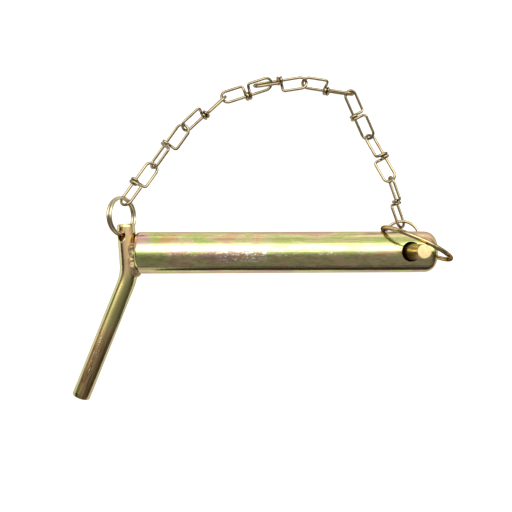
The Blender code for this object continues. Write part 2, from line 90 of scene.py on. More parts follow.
def unit(vector: Sequence[float]) -> Array:
    """Unit vector along the one given.

    Args:
        vector: Any vector that isn't zero.

    Returns:
        The same direction with length one.
    """
    value = np.asarray(vector, dtype=float)
    return value / np.linalg.norm(value)


def axes_from(origin: Sequence[float], x_axis: Sequence[float], y_near: Sequence[float]) -> Array:
    """Frame with the X axis given and a Y axis near the one given.

    Args:
        origin: Origin of the frame.
        x_axis: Direction of its X axis.
        y_near: Direction that its Y axis is near to.

    Returns:
        A 4 by 4 matrix.
    """
    x = unit(x_axis)
    z = unit(np.cross(x, y_near))
    made = np.eye(4)
    made[:3, 0], made[:3, 1], made[:3, 2], made[:3, 3] = x, np.cross(z, x), z, origin
    return made


def turn_about(axis: str, angle: float) -> Array:
    """Rotation about one of the main axes, as a 4 by 4 matrix."""
    return np.array(Matrix.Rotation(angle, 4, axis))


def shift(x: float, y: float, z: float) -> Array:
    """Translation as a 4 by 4 matrix.

    Args:
        x: Step along X.
        y: Step along Y.
        z: Step along Z.

    Returns:
        A 4 by 4 matrix.
    """
    made = np.eye(4)
    made[:3, 3] = (x, y, z)
    return made


def moved(points: Array, matrix: Array) -> Array:
    """Points after a 4 by 4 matrix."""
    return np.asarray(points) @ matrix[:3, :3].T + matrix[:3, 3]


def fine_path(points: Array, spacing: float) -> Array:
    """Smooth curve through the points, with about equal steps.

    Each stretch is a cubic through its two ends, whose slopes come from the neighbouring points.

    Args:
        points: Points that the curve passes through.
        spacing: Length of a step.

    Returns:
        Points of the curve.
    """
    before = np.vstack([2 * points[:1] - points[1:2], points[:-1]])
    after = np.vstack([points[1:], 2 * points[-1:] - points[-2:-1]])
    slopes = (after - before) / 2
    lengths = np.linalg.norm(np.diff(points, axis=0), axis=1)
    counts = np.maximum(2, np.round(lengths / spacing).astype(int))
    pieces = []
    for i, count in enumerate(counts):
        t = np.linspace(0, 1, count, endpoint=False)[:, None]
        pieces.append((2 * t ** 3 - 3 * t ** 2 + 1) * points[i] + (t ** 3 - 2 * t ** 2 + t) * slopes[i]
                      + (3 * t ** 2 - 2 * t ** 3) * points[i + 1] + (t ** 3 - t ** 2) * slopes[i + 1])
    pieces.append(points[-1:])
    return np.vstack(pieces)


def carried_frames(path: Array) -> tuple[Array, Array]:
    """Two directions square to the path at each point, carried along it without twisting.

    Args:
        path: Points of the path.

    Returns:
        The two directions for each point.
    """
    tangents = np.gradient(path, axis=0)
    tangents /= np.linalg.norm(tangents, axis=1)[:, None]
    seed = np.eye(3)[np.argmin(np.abs(tangents[0]))]
    side = unit(np.cross(tangents[0], seed))
    sides = np.empty_like(path)
    for i, tangent in enumerate(tangents):
        side = unit(side - tangent * (side @ tangent))
        sides[i] = side
    return sides, np.cross(tangents, sides)


@dataclass
class Surface:
    """Vertices and faces of one closed skin.

    Attributes:
        points: Vertices.
        faces: Vertex numbers of each face.
    """

    points: Array
    faces: list[tuple[int, ...]]

    @staticmethod
    def around(rings: Array) -> Surface:
        """Skin through rings of equal size, with both ends closed by a fan.

        Args:
            rings: Array of rings by points by 3.

        Returns:
            The closed skin.
        """
        count, sides = rings.shape[:2]
        index = np.arange(count * sides).reshape(count, sides)
        beside = np.roll(index, -1, axis=1)
        quads = np.stack([index[:-1], beside[:-1], beside[1:], index[1:]], axis=-1).reshape(-1, 4)
        faces = [tuple(quad) for quad in quads.tolist()]
        first, last = count * sides, count * sides + 1
        faces += [(first, b, a) for a, b in zip(index[0].tolist(), beside[0].tolist())]
        faces += [(last, a, b) for a, b in zip(index[-1].tolist(), beside[-1].tolist())]
        middles = np.stack([rings[0].mean(0), rings[-1].mean(0)])
        return Surface(np.vstack([rings.reshape(-1, 3), middles]), faces)

    @staticmethod
    def swept(path: Array, radii: Array, sides: int) -> Surface:
        """Round bar along a path.

        Args:
            path: Middle line.
            radii: Radius at each point.
            sides: Points around.

        Returns:
            The closed skin.
        """
        one, two = carried_frames(path)
        angles = np.linspace(0, 2 * np.pi, sides, endpoint=False)
        spokes = np.cos(angles)[None, :, None] * one[:, None] + np.sin(angles)[None, :, None] * two[:, None]
        return Surface.around(path[:, None] + radii[:, None, None] * spokes)

    @staticmethod
    def turned(profile: Array, sides: int) -> Surface:
        """Turned form about Z.

        A point at angle a is (radius cos a, radius sin a, z), and a falls so that the faces point
        outwards.

        Args:
            profile: Points as (radius, z), from the top to the bottom.
            sides: Points around.

        Returns:
            The closed skin.
        """
        angles = np.linspace(0, -2 * np.pi, sides, endpoint=False)
        ring = np.stack([np.cos(angles), np.sin(angles)], axis=-1)
        flat = profile[:, 0][:, None, None] * ring[None]
        height = np.broadcast_to(profile[:, 1][:, None, None], flat.shape[:2] + (1,))
        return Surface.around(np.concatenate([flat, height], axis=-1))

    def placed(self, matrix: Array) -> Surface:
        """The same skin after a 4 by 4 matrix."""
        return Surface(moved(self.points, matrix), self.faces)

    def mesh(self, name: str) -> bpy.types.Mesh:
        """Smooth shaded Blender mesh of the skin, with its faces outward.

        Args:
            name: Name of the mesh.

        Returns:
            The mesh.
        """
        made = bpy.data.meshes.new(name)
        made.from_pydata(self.points.tolist(), [], self.faces)
        made.validate()
        flip_if_inside_out(made)
        made.shade_smooth()
        return made


def flip_if_inside_out(mesh: bpy.types.Mesh) -> None:
    """Turns every face over when the mesh's signed volume is negative.

    The volume is a sixth of the sum of a . (b x c) over the triangles a, b, c.

    Args:
        mesh: Mesh of a closed skin.
    """
    mesh.calc_loop_triangles()
    places = np.empty(len(mesh.vertices) * 3)
    mesh.vertices.foreach_get("co", places)
    corners = np.empty(len(mesh.loop_triangles) * 3, dtype=np.int32)
    mesh.loop_triangles.foreach_get("vertices", corners)
    a, b, c = (places.reshape(-1, 3)[corners.reshape(-1, 3)[:, i]] for i in range(3))
    if float(np.einsum("ij,ij->i", a, np.cross(b, c)).sum()) < 0:
        mesh.flip_normals()


def rounded(profile: Sequence[tuple[float, float, float]], steps: int = 6) -> Array:
    """Polyline of (radius, z) whose corners are rounded.

    Args:
        profile: Corners as (radius, z, length that the rounding takes from each side).
        steps: Points on each rounding.

    Returns:
        Points of the rounded polyline.
    """
    corners = np.array([corner[:2] for corner in profile])
    points = [corners[:1]]
    for i in range(1, len(profile) - 1):
        reach = profile[i][2]
        if reach <= 0:
            points.append(corners[i:i + 1])
            continue
        start = corners[i] + unit(corners[i - 1] - corners[i]) * reach
        end = corners[i] + unit(corners[i + 1] - corners[i]) * reach
        t = np.linspace(0, 1, steps + 1)[:, None]
        points.append((1 - t) ** 2 * start + 2 * t * (1 - t) * corners[i] + t ** 2 * end)
    points.append(corners[-1:])
    return np.vstack(points)


def with_rings(profile: Array, spacing: float) -> Array:
    """The profile with extra points, so that no stretch along Z is longer than the spacing.

    Args:
        profile: Points as (radius, z).
        spacing: Longest stretch along Z.

    Returns:
        The profile with its extra points.
    """
    pieces = []
    for start, end in zip(profile[:-1], profile[1:]):
        count = max(1, int(np.ceil(abs(end[1] - start[1]) / spacing)))
        t = np.linspace(0, 1, count, endpoint=False)[:, None]
        pieces.append(start * (1 - t) + end * t)
    pieces.append(profile[-1:])
    return np.vstack(pieces)


# Shader maths

MIX_COLOUR_INPUTS = (0, 6, 7)
MIX_COLOUR_OUTPUT = 2


class Graph:
    """Node tree of a material or of the surround, whose values are combined by ordinary operators."""

    def __init__(self, tree: bpy.types.NodeTree, shader: str = "Principled BSDF") -> None:
        """Takes a node tree and finds its shader."""
        self.tree = tree
        self.shader = tree.nodes[shader]

    def node(self, kind: str, output: int | str = 0, settings: dict[str, object] | None = None,
             **inputs: object) -> Value:
        """Adds any node.

        Args:
            kind: Blender's type of the node.
            output: Output wanted.
            settings: Properties of the node.
            inputs: Inputs by name, where an underscore stands for a space.

        Returns:
            The output as a value.
        """
        made = self.tree.nodes.new(kind)
        for name, value in (settings or {}).items():
            setattr(made, name, value)
        for name, value in inputs.items():
            self.feed(made.inputs[name.replace("_", " ")], value)
        return Value(self, made.outputs[output])

    def feed(self, socket: bpy.types.NodeSocket, value: object) -> None:
        """Links a value to an input, or sets a constant on it.

        Args:
            socket: Input to feed.
            value: Value to link, or constant to set.
        """
        if isinstance(value, Value):
            self.tree.links.new(value.socket, socket)
        elif isinstance(value, tuple) and len(value) == 3 and socket.type == "RGBA":
            socket.default_value = (*value, 1.0)
        else:
            socket.default_value = value

    def math(self, operation: str, *values: object) -> Value:
        """Maths node on up to three values.

        Args:
            operation: Blender's name of the operation.
            values: Values or numbers.

        Returns:
            The result.
        """
        made = self.tree.nodes.new("ShaderNodeMath")
        made.operation = operation
        for socket, value in zip(made.inputs, values):
            self.feed(socket, value)
        return Value(self, made.outputs[0])

    def parts(self, place: Value) -> tuple[Value, Value, Value]:
        """X, Y and Z of a place.

        Args:
            place: A place.

        Returns:
            Its three numbers.
        """
        split = self.node("ShaderNodeSeparateXYZ", 0, None, Vector=place).socket.node
        x, y, z = (Value(self, output) for output in split.outputs)
        return x, y, z

    def noise(self, place: Value, scale: float, detail: float = 3.0, roughness: float = 0.5,
              distortion: float = 0.0) -> Value:
        """Noise between about 0.2 and 0.8 at a place."""
        return self.node("ShaderNodeTexNoise", "Fac", None, Vector=place, Scale=scale, Detail=detail,
                         Roughness=roughness, Distortion=distortion)

    def on_pin(self, place: Value, heading: float = 0.0) -> Value:
        """Place in the pin's frame, with X turned to a heading in its plane.

        Args:
            place: Place in the frame's space.
            heading: Heading of X, in radians.

        Returns:
            The place in the pin's frame.
        """
        turn = turn_about("Z", -heading) @ np.linalg.inv(FRAME.matrix)
        return self.node("ShaderNodeMapping", 0, {"vector_type": "POINT"}, Vector=place,
                         Location=tuple(turn[:3, 3]), Rotation=(0.0, FRAME.tilt, -heading))

    def stretched(self, place: Value, factors: Colour, turn: Colour = (0.0, 0.0, 0.0)) -> Value:
        """A place after a turn and then a scale."""
        made = self.node("ShaderNodeMapping", 0, {"vector_type": "POINT"}, Vector=place, Rotation=turn)
        return self.node("ShaderNodeMapping", 0, {"vector_type": "POINT"}, Vector=made, Scale=factors)

    def ramp(self, value: Value, stops: Sequence[tuple[float, Colour]]) -> Value:
        """Colour that runs through the stops as the value rises.

        Args:
            value: Value that picks the colour.
            stops: Positions and their colours, from low to high.

        Returns:
            The colour.
        """
        made = self.tree.nodes.new("ShaderNodeValToRGB")
        elements = made.color_ramp.elements
        while len(elements) < len(stops):
            elements.new(0.5)
        for element, (position, colour) in zip(elements, stops):
            element.position = position
            element.color = (*colour, 1.0)
        self.feed(made.inputs["Fac"], value)
        return Value(self, made.outputs["Color"])

    def blend(self, share: object, first: object, second: object, mode: str = "MIX") -> Value:
        """Colour between two colours.

        Args:
            share: Share of the second colour.
            first: Colour at share 0.
            second: Colour at share 1.
            mode: How the two are blended.

        Returns:
            The blended colour.
        """
        made = self.tree.nodes.new("ShaderNodeMix")
        made.data_type = "RGBA"
        made.blend_type = mode
        for place, value in zip(MIX_COLOUR_INPUTS, (share, first, second)):
            self.feed(made.inputs[place], value)
        return Value(self, made.outputs[MIX_COLOUR_OUTPUT])

    def step(self, value: Value, low: float, high: float) -> Value:
        """Smooth rise from 0 to 1 as the value goes from low to high."""
        return self.node("ShaderNodeMapRange", 0, {"interpolation_type": "SMOOTHSTEP"}, Value=value,
                         From_Min=low, From_Max=high)

    def fall(self, value: Value, low: float, high: float) -> Value:
        """Smooth fall from 1 to 0 as the value goes from low to high."""
        return 1.0 - self.step(value, low, high)

    def between(self, value: Value, low: float, high: float, soft: float) -> Value:
        """One from low to high, with soft edges outside them."""
        return self.step(value, low - soft, low) * self.fall(value, high, high + soft)

    def patch(self, first: Value, second: Value, zones: tuple[Zone, Zone]) -> Value:
        """One where two values both lie in their zones."""
        return self.between(first, *zones[0]) * self.between(second, *zones[1])


@dataclass
class Value:
    """Output of a node that works with ordinary operators."""

    graph: Graph
    socket: bpy.types.NodeSocket

    def __add__(self, other: object) -> Value:
        """Adds a value or a number."""
        return self.graph.math("ADD", self, other)

    def __radd__(self, other: object) -> Value:
        """Adds this value to a number."""
        return self.graph.math("ADD", other, self)

    def __sub__(self, other: object) -> Value:
        """Takes away a value or a number."""
        return self.graph.math("SUBTRACT", self, other)

    def __rsub__(self, other: object) -> Value:
        """Takes this value away from a number."""
        return self.graph.math("SUBTRACT", other, self)

    def __mul__(self, other: object) -> Value:
        """Multiplies by a value or a number."""
        return self.graph.math("MULTIPLY", self, other)

    def __rmul__(self, other: object) -> Value:
        """Multiplies a number by this value."""
        return self.graph.math("MULTIPLY", other, self)

    def __truediv__(self, other: object) -> Value:
        """Divides by a value or a number."""
        return self.graph.math("DIVIDE", self, other)


@dataclass(frozen=True)
class Grain:
    """Noise that may be drawn out along X.

    Attributes:
        along: Scale along X, where less than one draws the grain out.
        scale: Grains in a metre.
        detail: Finer layers of the noise.
        roughness: Strength of the finer layers.
        distortion: How far the noise swirls.
    """

    along: float
    scale: float
    detail: float = 3.0
    roughness: float = 0.5
    distortion: float = 0.0

    def on(self, graph: Graph, place: Value) -> Value:
        """The noise at a place."""
        drawn = graph.stretched(place, (self.along, 1.0, 1.0))
        return graph.noise(drawn, self.scale, self.detail, self.roughness, self.distortion)


@dataclass
class Paint:
    """Colour and roughness of a finish, to which marks are added.

    Attributes:
        graph: Graph of the material.
        place: Place in the pin's frame, with X along the piece.
        colour: Colour so far.
        rough: Roughness so far.
    """

    graph: Graph
    place: Value
    colour: Value
    rough: Value

    def lay(self, mask: Value, strength: float, tint: Value | Colour) -> None:
        """Lays a tint over the colour.

        Args:
            mask: Where the tint lies, from 0 to 1.
            strength: How much of the tint shows there.
            tint: Colour that is laid over the one so far.
        """
        self.colour = self.graph.blend(mask * strength, self.colour, tint)


class Marks:
    """Local marks of one piece.

    In the marks below a span is where a mark fades in or out, and a zone is a mark's two ends and the
    softness outside them. A coat is a strength and a tint.
    """

    def add(self, paint: Paint) -> None:
        """Adds the marks to the paint.

        Args:
            paint: Colour and roughness that the marks change.
        """
        raise NotImplementedError


DRAWN_LINES = Grain(0.03, 900.0)
FINE_GRAIN = Grain(1.0, 2600.0, 3.0, 0.6)
FILM_SPAN: Span = (0.34, 0.70)
LINE_SPAN: Span = (0.50, 0.70)
LINE_TINT: Colour = (0.40, 0.30, 0.14)
SCUFF_SPAN: Span = (0.60, 0.70)
SCUFFED_PLACES: Span = (0.52, 0.64)
SCRATCHED_PLACES: Span = (0.44, 0.60)
WORN_COAT: Coat = (1.0, (0.92, 0.88, 0.76))
WORN_ROUGHNESS = 0.3
ROUGH_SPAN: Span = (0.38, 0.66)
BUMP_STRENGTH = 0.3


@dataclass(frozen=True)
class ZincFinish:
    """Yellow zinc: a thin film whose tint wanders over the metal.

    Attributes:
        name: Name of the material.
        tints: Colours that the film runs through.
        patch: Patches in a metre.
        drawn: How much longer patches are along the piece than across it.
        heading: Direction of the piece's length in the pin's plane.
        roughness: Lowest and highest roughness.
        streak: Strength of the drawing marks along the piece.
        worn: Share of dull pale scuffs.
        bump: Height of the fine texture.
        edge: Tint at a grazing angle.
    """

    name: str
    tints: tuple[Colour, ...]
    patch: float = 90.0
    drawn: float = 3.0
    heading: float = 0.0
    roughness: Span = (0.14, 0.30)
    streak: float = 0.25
    worn: float = 0.25
    bump: float = 0.0002
    edge: Colour = (0.62, 0.53, 0.44)

    def build(self, marks: Marks | None = None) -> bpy.types.Material:
        """Makes the material.

        The film's thickness is 0.6 of the patches, 0.3 of a slow drift and a little of the drawn lines.

        Args:
            marks: Local marks of the piece.

        Returns:
            The material.
        """
        material = bpy.data.materials.new(self.name)
        material.use_nodes = True
        graph = Graph(material.node_tree)
        place = graph.on_pin(graph.node("ShaderNodeTexCoord", "Object"), self.heading)
        along = graph.stretched(place, (1.0 / self.drawn, 1.0, 1.0))
        wander = graph.noise(along, self.patch, detail=5.0, roughness=0.6, distortion=0.5)
        slow = graph.noise(along, self.patch * 0.4, detail=1.0)
        lines = DRAWN_LINES.on(graph, place)
        film = graph.step(wander * 0.6 + slow * 0.3 + lines * (0.1 + self.streak * 0.3), *FILM_SPAN)
        stops = [(i / (len(self.tints) - 1), tint) for i, tint in enumerate(self.tints)]
        scuffs = graph.noise(place, self.patch * 6.0, detail=6.0, roughness=0.75)
        where = graph.noise(along, self.patch * 0.6, detail=2.0)
        worn = graph.step(scuffs, *SCUFF_SPAN) * graph.step(where, *SCUFFED_PLACES) * self.worn
        worn = worn + scratches(graph, place) * graph.step(where, *SCRATCHED_PLACES) * self.worn
        low, high = self.roughness
        rough = low + (high - low) * graph.step(scuffs * 0.5 + lines * 0.5, *ROUGH_SPAN)
        paint = Paint(graph, place, graph.ramp(film, stops), rough + worn * WORN_ROUGHNESS)
        paint.lay(graph.step(lines, *LINE_SPAN), self.streak, LINE_TINT)
        paint.lay(worn, *WORN_COAT)
        if marks is not None:
            marks.add(paint)
        height = FINE_GRAIN.on(graph, place) * 0.5 + lines * 0.5
        normal = graph.node("ShaderNodeBump", 0, None, Height=height, Strength=BUMP_STRENGTH,
                            Distance=self.bump)
        inputs = graph.shader.inputs
        graph.feed(inputs["Base Color"], paint.colour)
        graph.feed(inputs["Roughness"], paint.rough)
        graph.feed(inputs["Normal"], normal)
        inputs["Metallic"].default_value = 1.0
        inputs["Specular Tint"].default_value = (*self.edge, 1.0)
        return material


def scratches(graph: Graph, place: Value) -> Value:
    """Fine short scratches that cross the piece in two directions.

    Two noises, each drawn out along a heading of its own, are cut down to hairs in scattered patches.

    Args:
        graph: Graph of the material.
        place: Place in the pin's frame.

    Returns:
        One on a scratch, and zero beside it.
    """
    found = []
    for angle, scale in ((0.75, 700.0), (-0.9, 800.0)):
        hair = graph.noise(graph.stretched(place, (0.08, 1.0, 1.0), turn=(0.0, 0.0, angle)), scale, detail=1.0)
        patch = graph.noise(place, 260.0, detail=1.0)
        found.append(graph.step(hair, 0.69, 0.73) * graph.step(patch, 0.55, 0.62))
    return graph.math("MAXIMUM", found[0], found[1])


PINK: Colour = (0.66, 0.41, 0.38)
ORANGE: Colour = (0.68, 0.44, 0.21)
STRAW: Colour = (0.70, 0.60, 0.33)
GOLD: Colour = (0.62, 0.51, 0.20)
LIME: Colour = (0.58, 0.60, 0.23)
GREEN: Colour = (0.46, 0.54, 0.17)
OLIVE: Colour = (0.42, 0.41, 0.15)
TAN: Colour = (0.68, 0.49, 0.25)
AMBER: Colour = (0.64, 0.42, 0.17)
BEIGE: Colour = (0.44, 0.37, 0.24)
DRAB: Colour = (0.30, 0.25, 0.155)
DIM_GOLD: Colour = (0.37, 0.30, 0.16)
BROWN: Colour = (0.26, 0.175, 0.08)

PIN_FINISH = ZincFinish("pin_zinc", (PINK, STRAW, LIME, GREEN, GREEN, LIME, STRAW, ORANGE, PINK), patch=125.0,
                        drawn=2.4, roughness=(0.09, 0.20), streak=0.35)
HANDLE_FINISH = ZincFinish("handle_zinc", (OLIVE, GOLD, TAN, AMBER, TAN, OLIVE), patch=120.0, drawn=4.0,
                           heading=math.radians(67.8), roughness=(0.09, 0.18), streak=0.3)
WELD_FINISH = ZincFinish("weld_zinc", (BROWN, (0.42, 0.33, 0.17), (0.42, 0.29, 0.15), (0.34, 0.32, 0.14)),
                         patch=260.0, drawn=1.0, roughness=(0.40, 0.60), streak=0.1, bump=0.0006)
LINCH_FINISH = ZincFinish("linch_zinc", (ORANGE, GOLD, STRAW, GOLD), patch=160.0, drawn=1.0,
                          roughness=(0.16, 0.32), streak=0.1)
RING_FINISH = ZincFinish("ring_zinc", (BROWN, (0.42, 0.34, 0.17), (0.55, 0.36, 0.19), BROWN), patch=180.0,
                         drawn=1.0, roughness=(0.06, 0.14), streak=0.1, edge=(0.12, 0.08, 0.04))
SPLIT_FINISH = ZincFinish("split_ring_zinc", (DIM_GOLD, BEIGE, (0.62, 0.57, 0.38), BEIGE), patch=110.0,
                          drawn=1.0, roughness=(0.12, 0.22), streak=0.0, bump=0.00006,
                          edge=(0.36, 0.30, 0.20))
CHAIN_FINISH = ZincFinish("chain_zinc", (BROWN, DRAB, DIM_GOLD, DRAB), patch=70.0, drawn=1.0,
                          roughness=(0.10, 0.20), streak=0.0, worn=0.1, bump=0.00004, edge=(0.18, 0.14, 0.09))


# Pieces


@dataclass(frozen=True)
class PinFrame:
    """The pin's own frame, tipped nose up as it lies.

    Attributes:
        tilt: Angle between the pin and the floor.
        origin: Middle of the cross hole in the frame's space.
    """

    tilt: float = math.radians(3.9388)
    origin: tuple[float, float, float] = (0.0884579, -0.0113990, 0.0238802)

    @property
    def matrix(self) -> Array:
        """The frame as a 4 by 4 matrix."""
        return shift(*self.origin) @ turn_about("Y", -self.tilt)


FRAME = PinFrame()
ALONG_PIN = turn_about("Y", math.pi / 2)
SHARP_EDGE = math.radians(45.0)
SHADED_EDGE = math.radians(50.0)
CORE = 0.0003
FIRST_RING_START = math.radians(-48.0)


@dataclass
class Piece:
    """One visible piece that stands for a CAD node.

    Attributes:
        node: CAD node that it stands for.
        body: Body that it rides on.
        slot: Material slot of the record, which is not used.
        material: Finish of the piece.
    """

    node: str
    body: str
    slot: Slot
    material: bpy.types.Material

    def place(self, mesh: bpy.types.Mesh) -> bpy.types.Object:
        """Puts the mesh into the scene in place of the CAD node.

        Args:
            mesh: Finished mesh in the frame's space.

        Returns:
            The new object.
        """
        made = bpy.data.objects.new("dressed_" + self.node, mesh)
        bpy.context.scene.collection.objects.link(made)
        mesh.materials.clear()
        mesh.materials.append(self.material)
        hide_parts(self.node)
        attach(made, self.body)
        LOG.info("%s: %d faces on %s", made.name, len(mesh.polygons), self.body)
        return made


@dataclass
class Workshop:
    """Cuts and joins meshes with modifiers, and bakes the result."""

    scraps: list[bpy.types.Object] = field(default_factory=list)

    def body(self, name: str, surface: Surface) -> bpy.types.Object:
        """Temporary object of a skin.

        Args:
            name: Name of the object.
            surface: Its skin.

        Returns:
            The object.
        """
        made = bpy.data.objects.new(name, surface.mesh(name))
        bpy.context.scene.collection.objects.link(made)
        self.scraps.append(made)
        return made

    def combine(self, target: bpy.types.Object, tool: Surface, operation: str) -> None:
        """Boolean of a skin with the target.

        Args:
            target: Object that changes.
            tool: Skin that is joined or cut away.
            operation: UNION or DIFFERENCE.
        """
        modifier = target.modifiers.new(operation, "BOOLEAN")
        modifier.operation = operation
        modifier.solver = "EXACT"
        modifier.object = self.body("tool", tool)

    def bore(self, target: bpy.types.Object, radius: float, half: float, sides: int, matrix: Array) -> None:
        """Cuts a round hole about the Z axis of a frame.

        Args:
            target: Object that is cut.
            radius: Radius of the hole.
            half: Half the length of the cut.
            sides: Points around.
            matrix: Frame of the hole.
        """
        drill = Surface.turned(np.array([(radius, half), (radius, -half)]), sides)
        self.combine(target, drill.placed(matrix), "DIFFERENCE")

    def soften(self, target: bpy.types.Object, width: float, segments: int) -> None:
        """Rounds the sharp edges of the target.

        Args:
            target: Object whose edges are rounded.
            width: Width of the rounding.
            segments: Faces across it.
        """
        bevel = target.modifiers.new("Soften", "BEVEL")
        bevel.width = width
        bevel.segments = segments
        bevel.limit_method = "ANGLE"
        bevel.angle_limit = SHARP_EDGE
        bevel.use_clamp_overlap = True

    def bake(self, target: bpy.types.Object, name: str) -> bpy.types.Mesh:
        """Mesh of the target with its modifiers applied.

        Args:
            target: Object with its modifiers.
            name: Name of the mesh.

        Returns:
            The mesh.
        """
        bpy.context.view_layer.update()
        evaluated = target.evaluated_get(bpy.context.evaluated_depsgraph_get())
        made = bpy.data.meshes.new_from_object(evaluated)
        made.name = name
        made.shade_smooth()
        made.set_sharp_from_angle(angle=SHADED_EDGE)
        return made

    def clear(self) -> None:
        """Removes the temporary objects."""
        for scrap in self.scraps:
            data = scrap.data
            bpy.data.objects.remove(scrap, do_unlink=True)
            if data.users == 0:
                bpy.data.meshes.remove(data)
        self.scraps.clear()


@dataclass(frozen=True)
class ShaftShape:
    """Round bar with rounded ends and a cross hole near its nose.

    Attributes:
        radius: Radius of the bar.
        nose: X of the nose's face.
        end: X of the plain end's face.
        nose_round: Length and depth of the nose's rounding.
        end_round: Length and depth of the plain end's rounding.
        hole_radius: Radius of the cross hole.
        core: Radius at which the end faces close.
        spacing: Longest face along the bar.
    """

    radius: float = 0.0127
    nose: float = 0.0177
    end: float = -0.1656
    nose_round: Span = (0.0067, 0.0060)
    end_round: Span = (0.0024, 0.0019)
    hole_radius: float = 0.0061
    core: float = 0.0005
    spacing: float = 0.0025

    def floor_below(self, x: float) -> float:
        """Height of the floor in the pin's frame, on which the plain end's rim stands."""
        return -self.radius - (x - self.end - self.end_round[0]) * math.tan(FRAME.tilt)

    def corner(self, length: float, depth: float, steps: int = 10) -> Array:
        """Quarter ellipse as (inward, back) pairs, from the face to the full radius."""
        a = np.linspace(0, np.pi / 2, steps + 1)
        return np.stack([depth * (1 - np.sin(a)), length * (1 - np.cos(a))], axis=-1)

    def profile(self) -> Array:
        """Half outline from the nose's middle to the end's middle.

        Returns:
            Points as (radius, place along the bar).
        """
        front = self.corner(*self.nose_round)
        back = self.corner(*self.end_round)[::-1]
        rows = [(self.core, self.nose)]
        rows += [(self.radius - inward, self.nose - behind) for inward, behind in front]
        rows += [(self.radius - inward, self.end + behind) for inward, behind in back]
        rows.append((self.core, self.end))
        return with_rings(np.array(rows), self.spacing)


@dataclass
class Shaft:
    """The pin itself."""

    shape: ShaftShape = field(default_factory=ShaftShape)
    sides: int = 160
    hole_sides: int = 96
    hole_half: float = 0.02
    rim: float = 0.00035

    def build(self, piece: Piece, shop: Workshop) -> None:
        """Turns the bar, cuts the hole and rounds its rim.

        Args:
            piece: The piece to make.
            shop: Workshop that cuts and joins it.
        """
        skin = Surface.turned(self.shape.profile(), self.sides)
        bar = shop.body("bar", skin.placed(FRAME.matrix @ ALONG_PIN))
        shop.bore(bar, self.shape.hole_radius, self.hole_half, self.hole_sides, FRAME.matrix)
        shop.combine(bar, HandleShape().room(), "DIFFERENCE")
        shop.soften(bar, self.rim, 3)
        piece.place(shop.bake(bar, piece.node))
        shop.clear()


@dataclass(frozen=True)
class HandleShape:
    """Bent rod across the pin's end."""

    radius: float = 0.00545
    gap: float = 0.0003
    set_in: float = 0.0007
    upper: float = 0.0310
    lower: float = 0.0806
    upper_lean: float = math.radians(3.5)
    lower_lean: float = math.radians(22.2)
    bend_radius: float = 0.030
    bend_below: float = 0.0134
    chamfer: float = 0.0006
    hole_radius: float = 0.0030
    hole_from_top: float = 0.0051

    def flat_route(self) -> Array:
        """Middle line in its flat plane, from the top end to the lower end.

        Two straight legs touch an arc of the bend radius at its two ends.

        Returns:
            Top end, points of the arc, and lower end.
        """
        up = np.array([-math.sin(self.upper_lean), math.cos(self.upper_lean), 0.0])
        down = np.array([-math.sin(self.lower_lean), -math.cos(self.lower_lean), 0.0])
        half = (self.upper_lean + self.lower_lean) / 2
        to_centre = unit(up + down) * (self.bend_radius / math.cos(half))
        bulge = self.bend_radius + to_centre[0]
        corner = np.array([ShaftShape().end + self.set_in - self.radius - bulge, -self.bend_below, 0.0])
        turns = np.linspace(self.upper_lean, -self.lower_lean, 25)
        arc = corner + to_centre + self.bend_radius * np.stack(
            [np.cos(turns), np.sin(turns), np.zeros_like(turns)], axis=-1)
        return np.vstack([corner + up * self.upper, arc, corner + down * self.lower])

    def path(self) -> Array:
        """Finely divided middle line.

        Returns:
            Points of the middle line.
        """
        route = self.flat_route()
        upper = np.linspace(route[0], route[1], 12, endpoint=False)
        lower = np.linspace(route[-2], route[-1], 26)[1:]
        return np.vstack([upper, route[1:-1], lower])

    def room(self) -> Surface:
        """Skin round the rod that leaves a small gap.

        Returns:
            The skin in the frame's space.
        """
        path = self.path()
        return Surface.swept(path, np.full(len(path), self.radius + self.gap), 64).placed(
            FRAME.matrix @ self.plane())

    def plane(self) -> Array:
        """Droop about the pin's axis, which brings the lower end down to the floor."""
        tip = self.flat_route()[-1]
        return turn_about("X", math.asin((-ShaftShape().floor_below(tip[0]) - self.radius) / -tip[1]))


@dataclass
class Handle:
    """The bent handle with its ring hole."""

    shape: HandleShape = field(default_factory=HandleShape)
    sides: int = 72
    hole_sides: int = 48
    hole_half: float = 0.016
    rim: float = 0.00025

    def build(self, piece: Piece, shop: Workshop) -> None:
        """Sweeps the rod, cuts the ring's hole and rounds the rims.

        Args:
            piece: The piece to make.
            shop: Workshop that cuts and joins it.
        """
        shape = self.shape
        path = shape.path()
        inset = shape.chamfer
        start = unit(path[1] - path[0])
        finish = unit(path[-1] - path[-2])
        path = np.vstack([path[:1], path[:1] + start * inset * 0.4, path[:1] + start * inset, path[1:-1],
                          path[-1:] - finish * inset, path[-1:] - finish * inset * 0.4, path[-1:]])
        radii = np.full(len(path), shape.radius)
        ends = np.array([shape.radius - inset, shape.radius - inset * 0.35])
        radii[:2] = ends
        radii[-2:] = ends[::-1]
        place = FRAME.matrix @ shape.plane()
        rod = shop.body("rod", Surface.swept(path, radii, self.sides).placed(place))
        seat, _, across, _, tangent = RingSeat().solve()
        hole = FRAME.matrix @ axes_from(seat, tangent, across) @ ALONG_PIN
        shop.bore(rod, shape.hole_radius, self.hole_half, self.hole_sides, hole)
        shop.soften(rod, self.rim, 2)
        piece.place(shop.bake(rod, piece.node))
        shop.clear()


